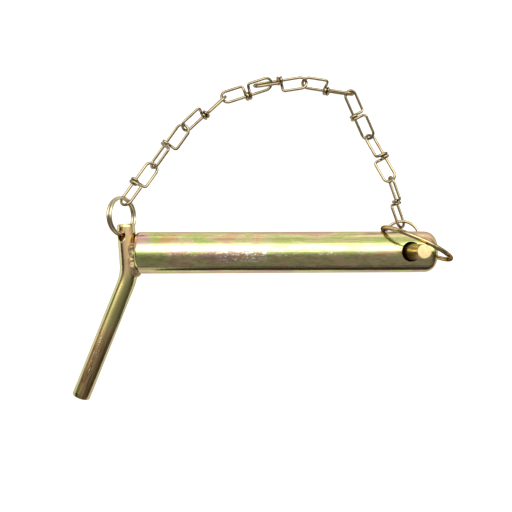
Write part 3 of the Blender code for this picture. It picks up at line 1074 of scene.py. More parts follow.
@dataclass(frozen=True)
class RingShape:
    """Split ring: two turns of wire."""

    radius: float = 0.0111
    wire: float = 0.0018
    gap: float = 0.00012

    def route(self) -> Array:
        """Middle line of the wire in the ring's own frame.

        The wire keeps its radius, and rises by its thickness and the gap where its second turn starts.

        Returns:
            Points of the middle line.
        """
        angle = np.linspace(0.0, 684.0, 360)
        share = np.clip((angle - 330.0) / 28.0, 0.0, 1.0)
        rise = (self.wire + self.gap) * (share * share * (3 - 2 * share) - 0.5)
        a = np.radians(angle)
        return np.stack([self.radius * np.cos(a), self.radius * np.sin(a), rise], axis=-1)


@dataclass(frozen=True)
class RingSeat:
    """Where the first split ring crosses the handle."""

    turn: float = math.radians(59.0)
    seat_angle: float = math.radians(-66.0)

    def solve(self) -> tuple[Array, Array, Array, Array, Array]:
        """Where the ring hangs in the handle's hole, in the pin's frame.

        The ring's middle lies one radius back from the seat, less half of the arc's sag over the rod.

        Returns:
            Seat, ring's middle, ring's two directions, and its tangent at the seat.
        """
        handle, ring = HandleShape(), RingShape()
        route = handle.flat_route()
        flat_seat = route[0] - unit(route[0] - route[1]) * handle.hole_from_top
        seat = moved(flat_seat, handle.plane())
        across = np.array([math.cos(self.turn), 0.0, -math.sin(self.turn)])
        up = np.array([0.0, 1.0, 0.0])
        out = across * math.cos(self.seat_angle) + up * math.sin(self.seat_angle)
        tangent = up * math.cos(self.seat_angle) - across * math.sin(self.seat_angle)
        sag = ring.radius - math.sqrt(ring.radius ** 2 - handle.radius ** 2)
        middle = seat - out * (ring.radius - sag / 2)
        return seat, middle, across, up, tangent


@dataclass
class SplitRing:
    """One split ring in a frame of its own."""

    matrix: Array
    start: float = 0.0
    shape: RingShape = field(default_factory=RingShape)
    sides: int = 20

    def build(self, piece: Piece) -> None:
        """Sweeps the two turns, with rounded wire ends.

        Args:
            piece: The piece to make.
        """
        path = moved(self.shape.route(), turn_about("Z", self.start))
        radii = np.full(len(path), self.shape.wire / 2)
        radii[[0, -1]] *= 0.55
        radii[[1, -2]] *= 0.9
        piece.place(Surface.swept(path, radii, self.sides).placed(self.matrix).mesh(piece.node))


@dataclass(frozen=True)
class LinchShape:
    """Linch pin and its sprung ring."""

    shank: float = 0.0055
    tip: float = 0.00408
    slim: float = 0.0047
    taper: float = 0.0150
    reach: float = 0.0340
    head_radius: float = 0.0058
    head_height: float = 0.0108
    head_offset: float = 0.0066
    neck: float = 0.0013
    turn: float = math.radians(-26.2)
    lean: float = math.radians(1.0)
    sidestep: float = 0.00015
    shank_shift: float = 0.00025
    ring_radius: float = 0.0224
    ring_wire: float = 0.0028
    ring_side: float = 0.0032
    hinge_drop: float = 0.0064
    gap: float = 0.0003

    @property
    def top(self) -> float:
        """Height of the head's top."""
        return -ShaftShape().radius - self.gap

    @property
    def bottom(self) -> float:
        """Height of the head's bottom."""
        return self.top - self.head_height

    @property
    def hinge_out(self) -> float:
        """Distance of the hinge from the shank's axis."""
        return self.shank + self.gap + self.ring_wire / 2

    @property
    def matrix(self) -> Array:
        """The linch pin's frame."""
        lean = turn_about("Y", self.lean) @ turn_about("Z", self.turn)
        return FRAME.matrix @ shift(self.sidestep, 0.0, 0.0) @ lean


@dataclass
class LinchPin:
    """The linch pin with its head."""

    shape: LinchShape = field(default_factory=LinchShape)
    sides: int = 96
    head_sides: int = 80
    hole_sides: int = 48
    hole_half: float = 0.012
    rim: float = 0.0003

    def build(self, piece: Piece, shop: Workshop) -> None:
        """Turns the shank, forges the head round its hinge hole and joins them.

        Args:
            piece: The piece to make.
            shop: Workshop that cuts and joins it.
        """
        s = self.shape
        waist = s.top - s.neck
        crown = s.top - s.gap
        shank = rounded([(CORE, s.reach, 0), (s.tip, s.reach, 0.0004), (s.slim, s.reach - s.taper, 0.004),
                         (s.shank, 0.004, 0.003), (s.shank, waist, 0.0008), (CORE, waist, 0)])
        bar = Surface.turned(with_rings(shank, 0.002), self.sides).placed(shift(s.shank_shift, 0.0, 0.0))
        head = rounded([(CORE, crown, 0), (s.head_radius, crown, 0.0012),
                        (s.head_radius, s.bottom, 0.0013), (CORE, s.bottom, 0)])
        lump = Surface.turned(with_rings(head, 0.0015), self.head_sides).placed(shift(0.0, s.head_offset, 0.0))
        block = shop.body("lump", lump.placed(s.matrix))
        shop.combine(block, self.neck_skin(waist, s.top).placed(s.matrix), "UNION")
        hinge = s.matrix @ shift(0.0, s.hinge_out, s.top - s.hinge_drop) @ ALONG_PIN
        shop.bore(block, s.ring_wire / 2 + s.gap, self.hole_half, self.hole_sides, hinge)
        shop.combine(block, bar.placed(s.matrix), "UNION")
        shop.soften(block, self.rim, 2)
        piece.place(shop.bake(block, piece.node))
        shop.clear()

    def neck_skin(self, low: float, high: float) -> Surface:
        """Plate with round ends from the shank across to the head.

        Args:
            low: Height of its underside.
            high: Height of its top.

        Returns:
            The closed skin.
        """
        s = self.shape
        a = np.linspace(0.0, np.pi, 33)
        near = np.stack([-s.shank * 1.03 * np.cos(a), -s.shank * 1.03 * np.sin(a)], axis=-1)
        far = np.stack([s.head_radius * 0.97 * np.cos(a),
                        s.head_offset + s.head_radius * 0.97 * np.sin(a)], axis=-1)
        outline = np.vstack([near, far])
        middle = outline.mean(0)
        levels = [(0.94, low), (1.0, low + 0.0004), (1.0, high - 0.0003), (0.96, high)]
        rings = [np.column_stack([middle + (outline - middle) * scale, np.full(len(outline), z)])
                 for scale, z in levels]
        return Surface.around(np.array(rings))


@dataclass
class LinchRing:
    """The sprung ring over the pin."""

    shape: LinchShape = field(default_factory=LinchShape)
    sides: int = 28

    def build(self, piece: Piece) -> None:
        """Sweeps the bow and the two straight ends in the head.

        Args:
            piece: The piece to make.
        """
        s = self.shape
        reach = s.head_radius + s.ring_side
        rise = math.sqrt(s.ring_radius ** 2 - reach ** 2)
        start = math.asin(reach / s.ring_radius)
        sweep = np.linspace(start, 2 * np.pi - start, 160)
        bow = np.stack([-s.ring_radius * np.sin(sweep), np.zeros_like(sweep),
                        rise - s.ring_radius * np.cos(sweep)], axis=-1)
        left = np.array([(-s.gap, 0.0, 0.0), (-reach * 0.4, 0.0, 0.0), (-reach * 0.8, 0.0, 0.0)])
        right = (left * (-1.0, 1.0, 1.0))[::-1]
        ends = fine_path(np.vstack([left, bow[:2]]), 0.0006)
        other = fine_path(np.vstack([bow[-2:], right]), 0.0006)
        path = np.vstack([ends[:-1], bow[1:-1], other[1:]])
        radii = np.full(len(path), s.ring_wire / 2)
        radii[[0, -1]] *= 0.6
        place = s.matrix @ shift(s.ring_side, s.hinge_out, s.top - s.hinge_drop)
        piece.place(Surface.swept(path, radii, self.sides).placed(place).mesh(piece.node))


@dataclass(frozen=True)
class LinkShape:
    """Knotted link: two loops from one wire, each leg coiled once round the spine."""

    pitch: float = 0.0309
    wire: float = 0.0018
    width: float = 0.0077
    twist: float = math.radians(50.0)
    coil_gap: float = 0.00012
    play: float = 0.0006
    ring_play: float = 0.0018
    corner: float = 0.0016
    hook: float = math.radians(270.0)

    @property
    def half_length(self) -> float:
        """Half the spine's length between the contacts."""
        skew = self.width * math.sin(self.twist / 2)
        return math.sqrt(self.pitch ** 2 - skew ** 2) / 2

    def half(self) -> Array:
        """Wire from the middle of the spine: a loop, a cross bar and a hook round the spine.

        The loop is half a circle, the bar is a cubic between two tangents, and the hook is an arc that
        lies one wire and a gap off the spine.

        Returns:
            Points of the wire, from the spine's middle to the hook's end.
        """
        u = np.array([0.0, math.cos(self.twist / 2), math.sin(self.twist / 2)])
        v = np.array([0.0, -u[2], u[1]])
        x = np.array([1.0, 0.0, 0.0])
        bow = self.width / 2
        centre = self.half_length + (self.wire + self.play) / 2 - bow
        a = np.linspace(0.0, np.pi, 25)[:, None]
        loop = x * (centre + bow * np.sin(a)) + u * (bow - bow * np.cos(a))
        pitch = self.wire + self.coil_gap
        bar = x * pitch / 2
        c = np.linspace(0.0, np.pi / 2, 9)[:, None]
        turn = bar + x * self.corner * (1 - np.sin(c)) + u * (self.width - self.corner * (1 - np.cos(c)))
        start, end = turn[-1], bar + v * pitch
        reach = u * 0.4 * (self.width - self.corner)
        t = np.linspace(0.0, 1.0, 13)[1:, None]
        across = (start * (1 - t) ** 3 + (start - reach) * 3 * (1 - t) ** 2 * t
                  + (end + reach) * 3 * (1 - t) * t ** 2 + end * t ** 3)
        b = np.linspace(0.0, self.hook, 28)[1:, None]
        hook = bar + (u * -np.sin(b) + v * np.cos(b)) * pitch
        spine = x * np.linspace(0.0, centre, 14, endpoint=False)[:, None]
        leg = np.linspace(loop[-1], turn[0], 12)[1:-1]
        return np.vstack([spine, loop, leg, turn, across, hook])

    def route(self) -> Array:
        """The whole wire: one half, and the same half turned round the Y axis."""
        half = self.half()
        return np.vstack([(half * (-1.0, 1.0, -1.0))[:0:-1], half])

    def own_frame(self) -> Array:
        """Frame at the first contact, with X to the last contact.

        Returns:
            A 4 by 4 matrix.
        """
        last = np.array([self.half_length, math.cos(self.twist / 2) * self.width / 2,
                         math.sin(self.twist / 2) * self.width / 2])
        first = last * (-1.0, 1.0, -1.0)
        return axes_from(first, last - first, (0.0, 1.0, 0.0))


@dataclass(frozen=True)
class ChainRoute:
    """How the chain lies, in the frame's space.

    Attributes:
        headings: Direction of each link in degrees from +X.
        rolls: Turn of each link's first loop about its length, in degrees.
        slacks: Slack after a link, by its number.
        first_on_ring: Place of the first link on its ring.
        last_on_ring: Place of the last link on its ring.
    """

    headings: tuple[int, ...] = (55, 51, 38, 20, 5, -12, -63, -64, -76)
    rolls: tuple[int, ...] = (140, 125, 50, 345, 115, 50, 350, 150, 90)
    slacks: tuple[tuple[int, float], ...] = ((4, 0.0086), (6, 0.0012))
    first_on_ring: float = math.radians(74.0)
    last_on_ring: float = math.radians(115.0)
    link: LinkShape = field(default_factory=LinkShape)

    def heights(self, first: float, last: float) -> list[float]:
        """Height of each contact, as low as loops and knots can lie.

        A contact lies half a wire over the floor, plus the rise of the steeper of its two loops. A link
        whose knot would touch the floor is raised at both ends.

        Args:
            first: Height of the first contact.
            last: Height of the last contact.

        Returns:
            Heights of all contacts.
        """
        link = self.link
        bow = link.width / 2
        knot = 1.6 * link.wire + link.coil_gap
        rolls = [math.radians(roll) for roll in self.rolls]
        levels = [first]
        for before, after in zip(rolls, rolls[1:]):
            steeper = max(abs(math.sin(before + link.twist)), abs(math.sin(after)))
            levels.append(link.wire / 2 + bow * steeper)
        levels.append(last)
        for index, roll in enumerate(rolls):
            rise = (math.sin(roll) + math.sin(roll + link.twist)) / 2
            short = knot + bow * rise - (levels[index] + levels[index + 1]) / 2
            ends = [place for place in (index, index + 1) if 0 < place < len(rolls)]
            for place in ends:
                levels[place] += max(short, 0.0) * 2 / len(ends)
        return levels

    def walk(self, start: Array, levels: list[float], turn: float, spread: float
             ) -> tuple[list[tuple[Array, Array]], Array]:
        """Contacts of each link, and where the chain then ends.

        Args:
            start: First contact.
            levels: Heights of the contacts.
            turn: Turn of the whole arch.
            spread: Share that is kept of each heading's difference from the mean.

        Returns:
            First and last contact of each link, and the chain's end.
        """
        mean = sum(self.headings) / len(self.headings)
        angles = np.radians(mean + (np.array(self.headings) - mean) * spread) + turn
        directions = np.stack([np.cos(angles), np.sin(angles)], axis=-1)
        slacks = dict(self.slacks)
        here = np.array(start[:2], dtype=float)
        links = []
        for index, direction in enumerate(directions):
            climb = levels[index + 1] - levels[index]
            beyond = here + direction * math.sqrt(self.link.pitch ** 2 - climb ** 2)
            links.append((np.array([*here, levels[index]]), np.array([*beyond, levels[index + 1]])))
            between = unit(direction + directions[min(index + 1, len(directions) - 1)])
            here = beyond - between * slacks.get(index + 1, 0.0)
        return links, here

    def solve(self, start: Array, end: Array) -> list[tuple[Array, Array]]:
        """Bends the arch until it spans from start to end.

        Newton's steps on the turn and the spread, with slopes from small differences.

        Args:
            start: First contact.
            end: Where the last link has to end.

        Returns:
            First and last contact of each link.
        """
        levels = self.heights(float(start[2]), float(end[2]))
        guess = np.array([0.0, 1.0])
        step = 0.0001
        for _ in range(12):
            miss = self.walk(start, levels, *guess)[1] - end[:2]
            columns = [(self.walk(start, levels, *(guess + delta))[1] - end[:2] - miss) / step
                       for delta in (np.array([step, 0.0]), np.array([0.0, step]))]
            guess = guess - np.linalg.solve(np.stack(columns, axis=-1), miss)
        return self.walk(start, levels, *guess)[0]


@dataclass
class Chain:
    """The nine links."""

    first_ring: Array
    last_ring: Array
    route: ChainRoute = field(default_factory=ChainRoute)
    sides: int = 14

    def on_ring(self, ring: Array, angle: float) -> Array:
        """Contact inside a split ring.

        Args:
            ring: Frame of the ring.
            angle: Place round the ring.

        Returns:
            The contact in the frame's space.
        """
        shape, link = RingShape(), self.route.link
        inside = shape.radius - shape.wire / 2 - link.ring_play
        return moved(np.array([inside * math.cos(angle), inside * math.sin(angle), 0.0]), ring)

    def build(self, material: bpy.types.Material) -> None:
        """Sweeps each link where it lies.

        Args:
            material: Finish of the links.
        """
        link = self.route.link
        wire = fine_path(moved(link.route(), np.linalg.inv(link.own_frame())), 0.0006)
        radii = np.full(len(wire), link.wire / 2)
        radii[[0, -1]] *= 0.6
        start = self.on_ring(self.first_ring, self.route.first_on_ring)
        end = self.on_ring(self.last_ring, self.route.last_on_ring)
        for index, (first, last) in enumerate(self.route.solve(start, end)):
            along = unit(last - first)
            left = unit(np.cross((0.0, 0.0, 1.0), along))
            roll = math.radians(self.route.rolls[index]) + link.twist / 2
            side = left * math.cos(roll) + np.cross(along, left) * math.sin(roll)
            node = f"chain_link_{index + 1}"
            piece = Piece(node, f"link_{index + 1}", Slot.CHAIN, material)
            skin = Surface.swept(wire, radii, self.sides)
            piece.place(skin.placed(axes_from(first, along, side)).mesh(node))


@dataclass
class Weld:
    """Weld metal between the handle and the pin's end.

    Attributes:
        radius: Radius of the bead.
        top: Height of its two ends over the pin's axis.
        narrowing: How much thinner it is under the pin's end.
        sides: Points around.
        lumps: Waves of the surface, as a share of the radius, radians in a metre and waves around.
    """

    radius: float = 0.0027
    top: float = 0.0062
    narrowing: float = 0.40
    sides: int = 48
    lumps: tuple[tuple[float, float, int], ...] = (
        (0.12, 620.0, 1), (0.08, 1050.0, -2), (0.05, 1600.0, 1), (0.03, 2300.0, -3), (0.015, 3100.0, 2))

    def route(self) -> Array:
        """Down one side of the rod, round under the pin's end and up the other side.

        Returns:
            Points of the route, in the pin's frame.
        """
        shaft, rod = ShaftShape(), HandleShape()
        inset = shaft.end - self.radius * 0.55
        side = rod.radius * 0.88
        low = -shaft.radius + self.radius * 0.9
        down = np.linspace((inset, self.top, side), (inset, low, side), 12)
        a = np.linspace(0, np.pi, 14)[1:-1]
        under = np.stack([inset + 0.5 * self.radius * np.sin(a), low - self.radius * np.sin(a),
                          side * np.cos(a)], axis=-1)
        up = (down * (1.0, 1.0, -1.0))[::-1]
        return fine_path(np.vstack([down, under, up]), 0.00025)

    def build(self, piece: Piece) -> None:
        """Sweeps the bead, whose surface is lumpy, and thinner under the pin's end.

        The radius is multiplied by one plus a sum of sines of the way along and of the angle around.

        Args:
            piece: The piece to make.
        """
        path = self.route()
        walked = np.concatenate([[0.0], np.cumsum(np.linalg.norm(np.diff(path, axis=0), axis=1))])
        rng = np.random.default_rng(5)
        around = np.linspace(0.0, 2 * np.pi, self.sides, endpoint=False)[None, :]
        lumps = np.zeros((len(path), self.sides))
        for amount, pitch, turns in self.lumps:
            lumps += amount * np.sin(walked[:, None] * pitch + around * turns + rng.uniform(0, 6.3))
        ends = np.minimum(1.0, np.sqrt(np.minimum(walked, walked[-1] - walked) / 0.0025 + 0.03))
        thin = 1.0 - self.narrowing * (1.0 - np.abs(path[:, 2]) / np.abs(path[0, 2]))
        radii = self.radius * (1.0 + lumps) * (ends * thin)[:, None]
        one, two = carried_frames(path)
        spokes = np.cos(around)[..., None] * one[:, None] + np.sin(around)[..., None] * two[:, None]
        surface = Surface.around(path[:, None] + radii[..., None] * spokes).placed(FRAME.matrix)
        piece.place(surface.mesh(piece.node))


# Local marks


@dataclass(frozen=True)
class PinMarks(Marks):
    """Pale pink flanks and warm patches low down, partly film colour and partly painted reflection tints, a
    painted dark reflection band low on the side, a blush at the handle, white scuffs and a browner nose.

    X runs from the cross hole in metres. Turns are in radians about the pin's axis, from straight up
    towards +Y.
    """

    broken: Grain = Grain(0.4, 130.0, 2.0)
    patches: Grain = Grain(0.35, 190.0, 5.0, 0.65, 0.4)
    mottle: Grain = Grain(0.3, 520.0, 6.0, 0.75)
    ragged: Grain = Grain(0.5, 620.0, 8.0, 0.82)
    flank: Span = (0.90, 1.06)
    flank_breaks: Span = (0.42, 0.58)
    flank_share: Span = (0.35, 0.55)
    # Flank colour: partly film colour and partly a painted reflection tint.
    flank_film_and_reflection_tint: Colour = (0.45, 0.34, 0.26)
    under: Span = (-0.25, -0.02)
    under_end: Span = (-0.98, -0.90)
    warm_x: Span = (-0.115, -0.070)
    warm_share: Span = (0.20, 0.7)
    # Low side colours: partly film colour and partly a painted reflection tint.
    low_side_film_and_reflection_tints: Stops = ((0.38, (0.78, 0.50, 0.28)), (0.46, (0.68, 0.52, 0.27)), (0.53, (0.55, 0.52, 0.24)),
                         (0.60, (0.66, 0.51, 0.27)), (0.68, (0.76, 0.50, 0.32)))
    rim: Span = (-1.1, -1.0)
    rim_cut: Span = (0.50, 0.58)
    rim_coat: Coat = (0.6, (0.44, 0.50, 0.28))
    # Painted dark reflection: a brown band low on the side, and its colour.
    dark_reflection_band: Zone = (-0.95, -0.73, 0.06)
    dark_reflection_band_coat: Coat = (0.7, (0.17, 0.14, 0.07))
    lower: Zone = (-0.74, -0.10, 0.06)
    dark_cut: Span = (0.50, 0.58)
    dark_speck: Coat = (0.4, (0.30, 0.24, 0.11))
    pale_cut: Span = (0.40, 0.47)
    pale_speck: Coat = (0.4, (0.74, 0.62, 0.42))
    hole: Span = (0.00613, 0.0063)
    hole_coat: Coat = (0.85, (0.76, 0.56, 0.36))
    nose: Span = (0.0110, 0.0150)
    nose_coat: Coat = (0.7, (0.34, 0.27, 0.14))
    end: Span = (-0.1652, -0.1644)
    end_coat: Coat = (0.8, (0.34, 0.31, 0.14))
    wander: float = 0.03
    blush: tuple[Zone, Zone] = ((-0.1650, -0.157, 0.0020), (0.35, 1.1, 0.2))
    blush_cut: Span = (0.52, 0.66)
    blush_coat: Coat = (0.85, (0.66, 0.40, 0.38))
    spot: tuple[Zone, Zone] = ((-0.147, -0.142, 0.004), (0.55, 0.80, 0.15))
    spot_coat: Coat = (0.8, (0.70, 0.38, 0.17))
    dense: tuple[Zone, Zone] = ((-0.113, -0.090, 0.006), (-0.42, 0.16, 0.12))
    sparse: tuple[Zone, Zone] = ((-0.150, -0.046, 0.004), (-0.16, 0.12, 0.05))
    dense_cut: Span = (0.46, 0.64)
    sparse_cut: Span = (0.54, 0.64)
    scuff_coat: Coat = (0.85, (0.95, 0.93, 0.88))
    dull: float = 0.35

    def add(self, paint: Paint) -> None:
        """Adds the marks to the paint.

        Args:
            paint: Colour and roughness that the marks change.
        """
        graph, place = paint.graph, paint.place
        x, y, z = graph.parts(place)
        turn = graph.math("ARCTAN2", y, z)
        broken, patches = self.broken.on(graph, place), self.patches.on(graph, place)
        # Pinker, darker flanks: partly film colour and partly a painted reflection tint.
        flank = graph.step(graph.math("ABSOLUTE", turn), *self.flank)
        least, more = self.flank_share
        paint.lay(flank * (least + graph.step(broken, *self.flank_breaks) * more), 1.0, self.flank_film_and_reflection_tint)
        # Warm patches on the low side: partly film colour and partly a painted reflection tint.
        low_side = graph.fall(turn, *self.under) * graph.step(turn, *self.under_end)
        least, more = self.warm_share
        warm = least + graph.step(x, *self.warm_x) * more
        paint.lay(low_side * warm, 1.0, graph.ramp(patches, self.low_side_film_and_reflection_tints))
        paint.lay(graph.fall(turn, *self.rim) * graph.step(patches, *self.rim_cut), *self.rim_coat)
        # Painted dark reflection: a brown band low on the side.
        paint.lay(graph.between(turn, *self.dark_reflection_band), *self.dark_reflection_band_coat)
        mottle, lower = self.mottle.on(graph, place), graph.between(turn, *self.lower)
        paint.lay(lower * graph.step(mottle, *self.dark_cut), *self.dark_speck)
        paint.lay(lower * graph.fall(mottle, *self.pale_cut), *self.pale_speck)
        hole = graph.fall(graph.math("SQRT", x * x + y * y), *self.hole)
        paint.lay(hole, *self.hole_coat)
        paint.lay(graph.step(x, *self.nose), *self.nose_coat)
        paint.lay(graph.fall(x, *self.end), *self.end_coat)
        near = x + (patches - 0.5) * self.wander
        blush = graph.patch(near, turn, self.blush) * (1.0 - graph.step(broken, *self.blush_cut) * 0.5)
        paint.lay(blush, *self.blush_coat)
        paint.lay(graph.patch(near, turn, self.spot), *self.spot_coat)
        ragged = self.ragged.on(graph, place)
        dense = graph.patch(x, turn, self.dense) * graph.step(ragged, *self.dense_cut)
        sparse = graph.patch(x, turn, self.sparse) * graph.step(ragged, *self.sparse_cut)
        scuff = graph.math("MINIMUM", dense + sparse * 0.8, 1.0)
        paint.lay(scuff, *self.scuff_coat)
        paint.rough = paint.rough + scuff * self.dull + hole * self.dull


@dataclass(frozen=True)
class HandleMarks(Marks):
    """Olive below the bend, browner towards the lower end, and greenish flanks beside brown bands. The brown
    bands are painted dark reflections, the right flank is darker as painted shade, and an olive foot is partly
    painted shade.

    X runs along the rod's lower part. The share is the distance from the rod's middle line over its
    radius, where the middle line leans off above the bend.
    """

    bend_x: float = -0.07664
    middle: float = 0.15232
    upper_slope: float = 0.4814
    broken: Grain = Grain(0.07, 900.0, 4.0, 0.7)
    streak_cut: Span = (0.46, 0.56)
    flecks: Grain = Grain(0.3, 1300.0, 5.0, 0.7)
    fleck_cut: Span = (0.60, 0.66)
    olive: Zone = (-0.101, -0.082, 0.012)
    upper: Span = (-0.080, -0.072)
    upper_coat: Coat = (0.5, (0.80, 0.55, 0.30))
    lower: Span = (-0.135, -0.105)
    lower_coat: Coat = (0.75, (0.56, 0.33, 0.15))
    top: Span = (-0.0492, -0.0488)
    top_coat: Coat = (0.8, (0.28, 0.25, 0.12))
    streak_coat: Coat = (0.8, (0.18, 0.11, 0.05))
    fleck_spot: tuple[Zone, Zone] = ((-0.148, -0.116, 0.006), (-0.05, 0.35, 0.15))
    fleck_coat: Coat = (0.8, (0.92, 0.88, 0.78))
    # Painted dark reflection left of the middle: its place, colour and fading above the bend.
    left_reflection_band: Zone = (0.48, 0.66, 0.08)
    left_reflection_tint: Colour = (0.24, 0.17, 0.05)
    left_reflection_fade: Span = (-0.082, -0.074)
    # Painted shade on the right side of the lower part.
    right_shade_band: Zone = (-0.80, -0.40, 0.15)
    right_shade_coat: Coat = (0.6, (0.24, 0.17, 0.08))
    # Greenish rims are film colour; the right rim is darker, a painted shade.
    left_rim: Span = (0.67, 0.76)
    left_rim_coat: Coat = (0.9, (0.50, 0.52, 0.30))
    right_rim: Span = (-0.89, -0.82)
    right_rim_film_and_shade_coat: Coat = (0.9, (0.40, 0.38, 0.22))
    # Olive foot on the left half: partly film colour and partly painted shade.
    foot: tuple[Span, Span] = ((-0.153, -0.147), (-0.15, 0.05))
    foot_film_and_shade_coat: Coat = (0.6, (0.38, 0.38, 0.15))

    def add(self, paint: Paint) -> None:
        """Adds the marks to the paint.

        Args:
            paint: Colour and roughness that the marks change.
        """
        graph, place = paint.graph, paint.place
        x, y, _ = graph.parts(place)
        middle = self.middle + graph.math("MAXIMUM", x - self.bend_x, 0.0) * self.upper_slope
        share = (y - middle) / HandleShape().radius
        paint.lay(graph.between(x, *self.olive), 0.7, OLIVE)
        paint.lay(graph.step(x, *self.upper), *self.upper_coat)
        lower = graph.fall(x, *self.lower)
        paint.lay(lower, *self.lower_coat)
        paint.lay(graph.step(x, *self.top), *self.top_coat)
        paint.lay(lower * graph.step(self.broken.on(graph, place), *self.streak_cut), *self.streak_coat)
        # Painted dark reflection: a brown band left of the middle, weaker above the bend.
        left = graph.between(share, *self.left_reflection_band) * (0.5 - graph.step(x, *self.left_reflection_fade) * 0.25)
        paint.lay(left, 1.0, self.left_reflection_tint)
        # Painted shade: the right side of the lower part is darker.
        paint.lay(graph.between(share, *self.right_shade_band) * lower, *self.right_shade_coat)
        # Greenish rims: film colour, with the right rim darker as painted shade.
        paint.lay(graph.step(share, *self.left_rim), *self.left_rim_coat)
        paint.lay(graph.fall(share, *self.right_rim), *self.right_rim_film_and_shade_coat)
        # Olive foot on the left half: partly film colour and partly painted shade.
        paint.lay(graph.fall(x, *self.foot[0]) * graph.step(share, *self.foot[1]), *self.foot_film_and_shade_coat)
        fleck = graph.step(self.flecks.on(graph, place), *self.fleck_cut)
        fleck = fleck * graph.patch(x, share, self.fleck_spot)
        paint.lay(fleck, *self.fleck_coat)
        paint.rough = paint.rough + fleck * 0.3


@dataclass(frozen=True)
class TipMarks(Marks):
    """Matt, speckled end face of the linch pin, and a shank that is browner inside the hole and on its -Y
    side, as painted shade.

    Places are in the pin's frame: Z along the shank, and Y across the pin.
    """

    face: Span = (0.0330, 0.0337)
    specks: Grain = Grain(1.0, 900.0, 5.0, 0.7)
    speck_tints: Stops = ((0.40, (0.64, 0.44, 0.24)), (0.50, (0.66, 0.54, 0.26)), (0.62, (0.70, 0.59, 0.30)))
    # Painted shade deeper in the hole and on the shank's -Y side, and its colour.
    deep_shade: tuple[Span, Span] = ((0.0100, 0.0200), (-0.0035, -0.0005))
    deep_shade_coat: Coat = (0.8, (0.27, 0.17, 0.08))
    # Painted shade low on the shank: where it lies and its colour.
    under: tuple[Span, Span] = ((0.0180, 0.0310), (0.0004, 0.0016))
    flank: Span = (-0.0034, -0.0014)
    low_side_shade_coat: Coat = (0.75, (0.13, 0.085, 0.04))

    def add(self, paint: Paint) -> None:
        """Adds the marks to the paint.

        Args:
            paint: Colour and roughness that the marks change.
        """
        graph = paint.graph
        _, y, z = graph.parts(paint.place)
        # Painted shade: darker deeper in the hole and on the shank's -Y side.
        deep_shade = graph.math("MAXIMUM", graph.fall(z, *self.deep_shade[0]), graph.fall(y, *self.deep_shade[1]))
        paint.lay(deep_shade, *self.deep_shade_coat)
        # More painted shade on the shank's -Y side, and low on the shank near the hole.
        under = graph.fall(z, *self.under[0]) * graph.fall(y, *self.under[1])
        paint.lay(graph.math("MAXIMUM", under, graph.fall(y, *self.flank)), *self.low_side_shade_coat)
        face = graph.step(z, *self.face)
        paint.lay(face, 1.0, graph.ramp(self.specks.on(graph, paint.place), self.speck_tints))
        paint.rough = paint.rough + face * 0.3


# Studio


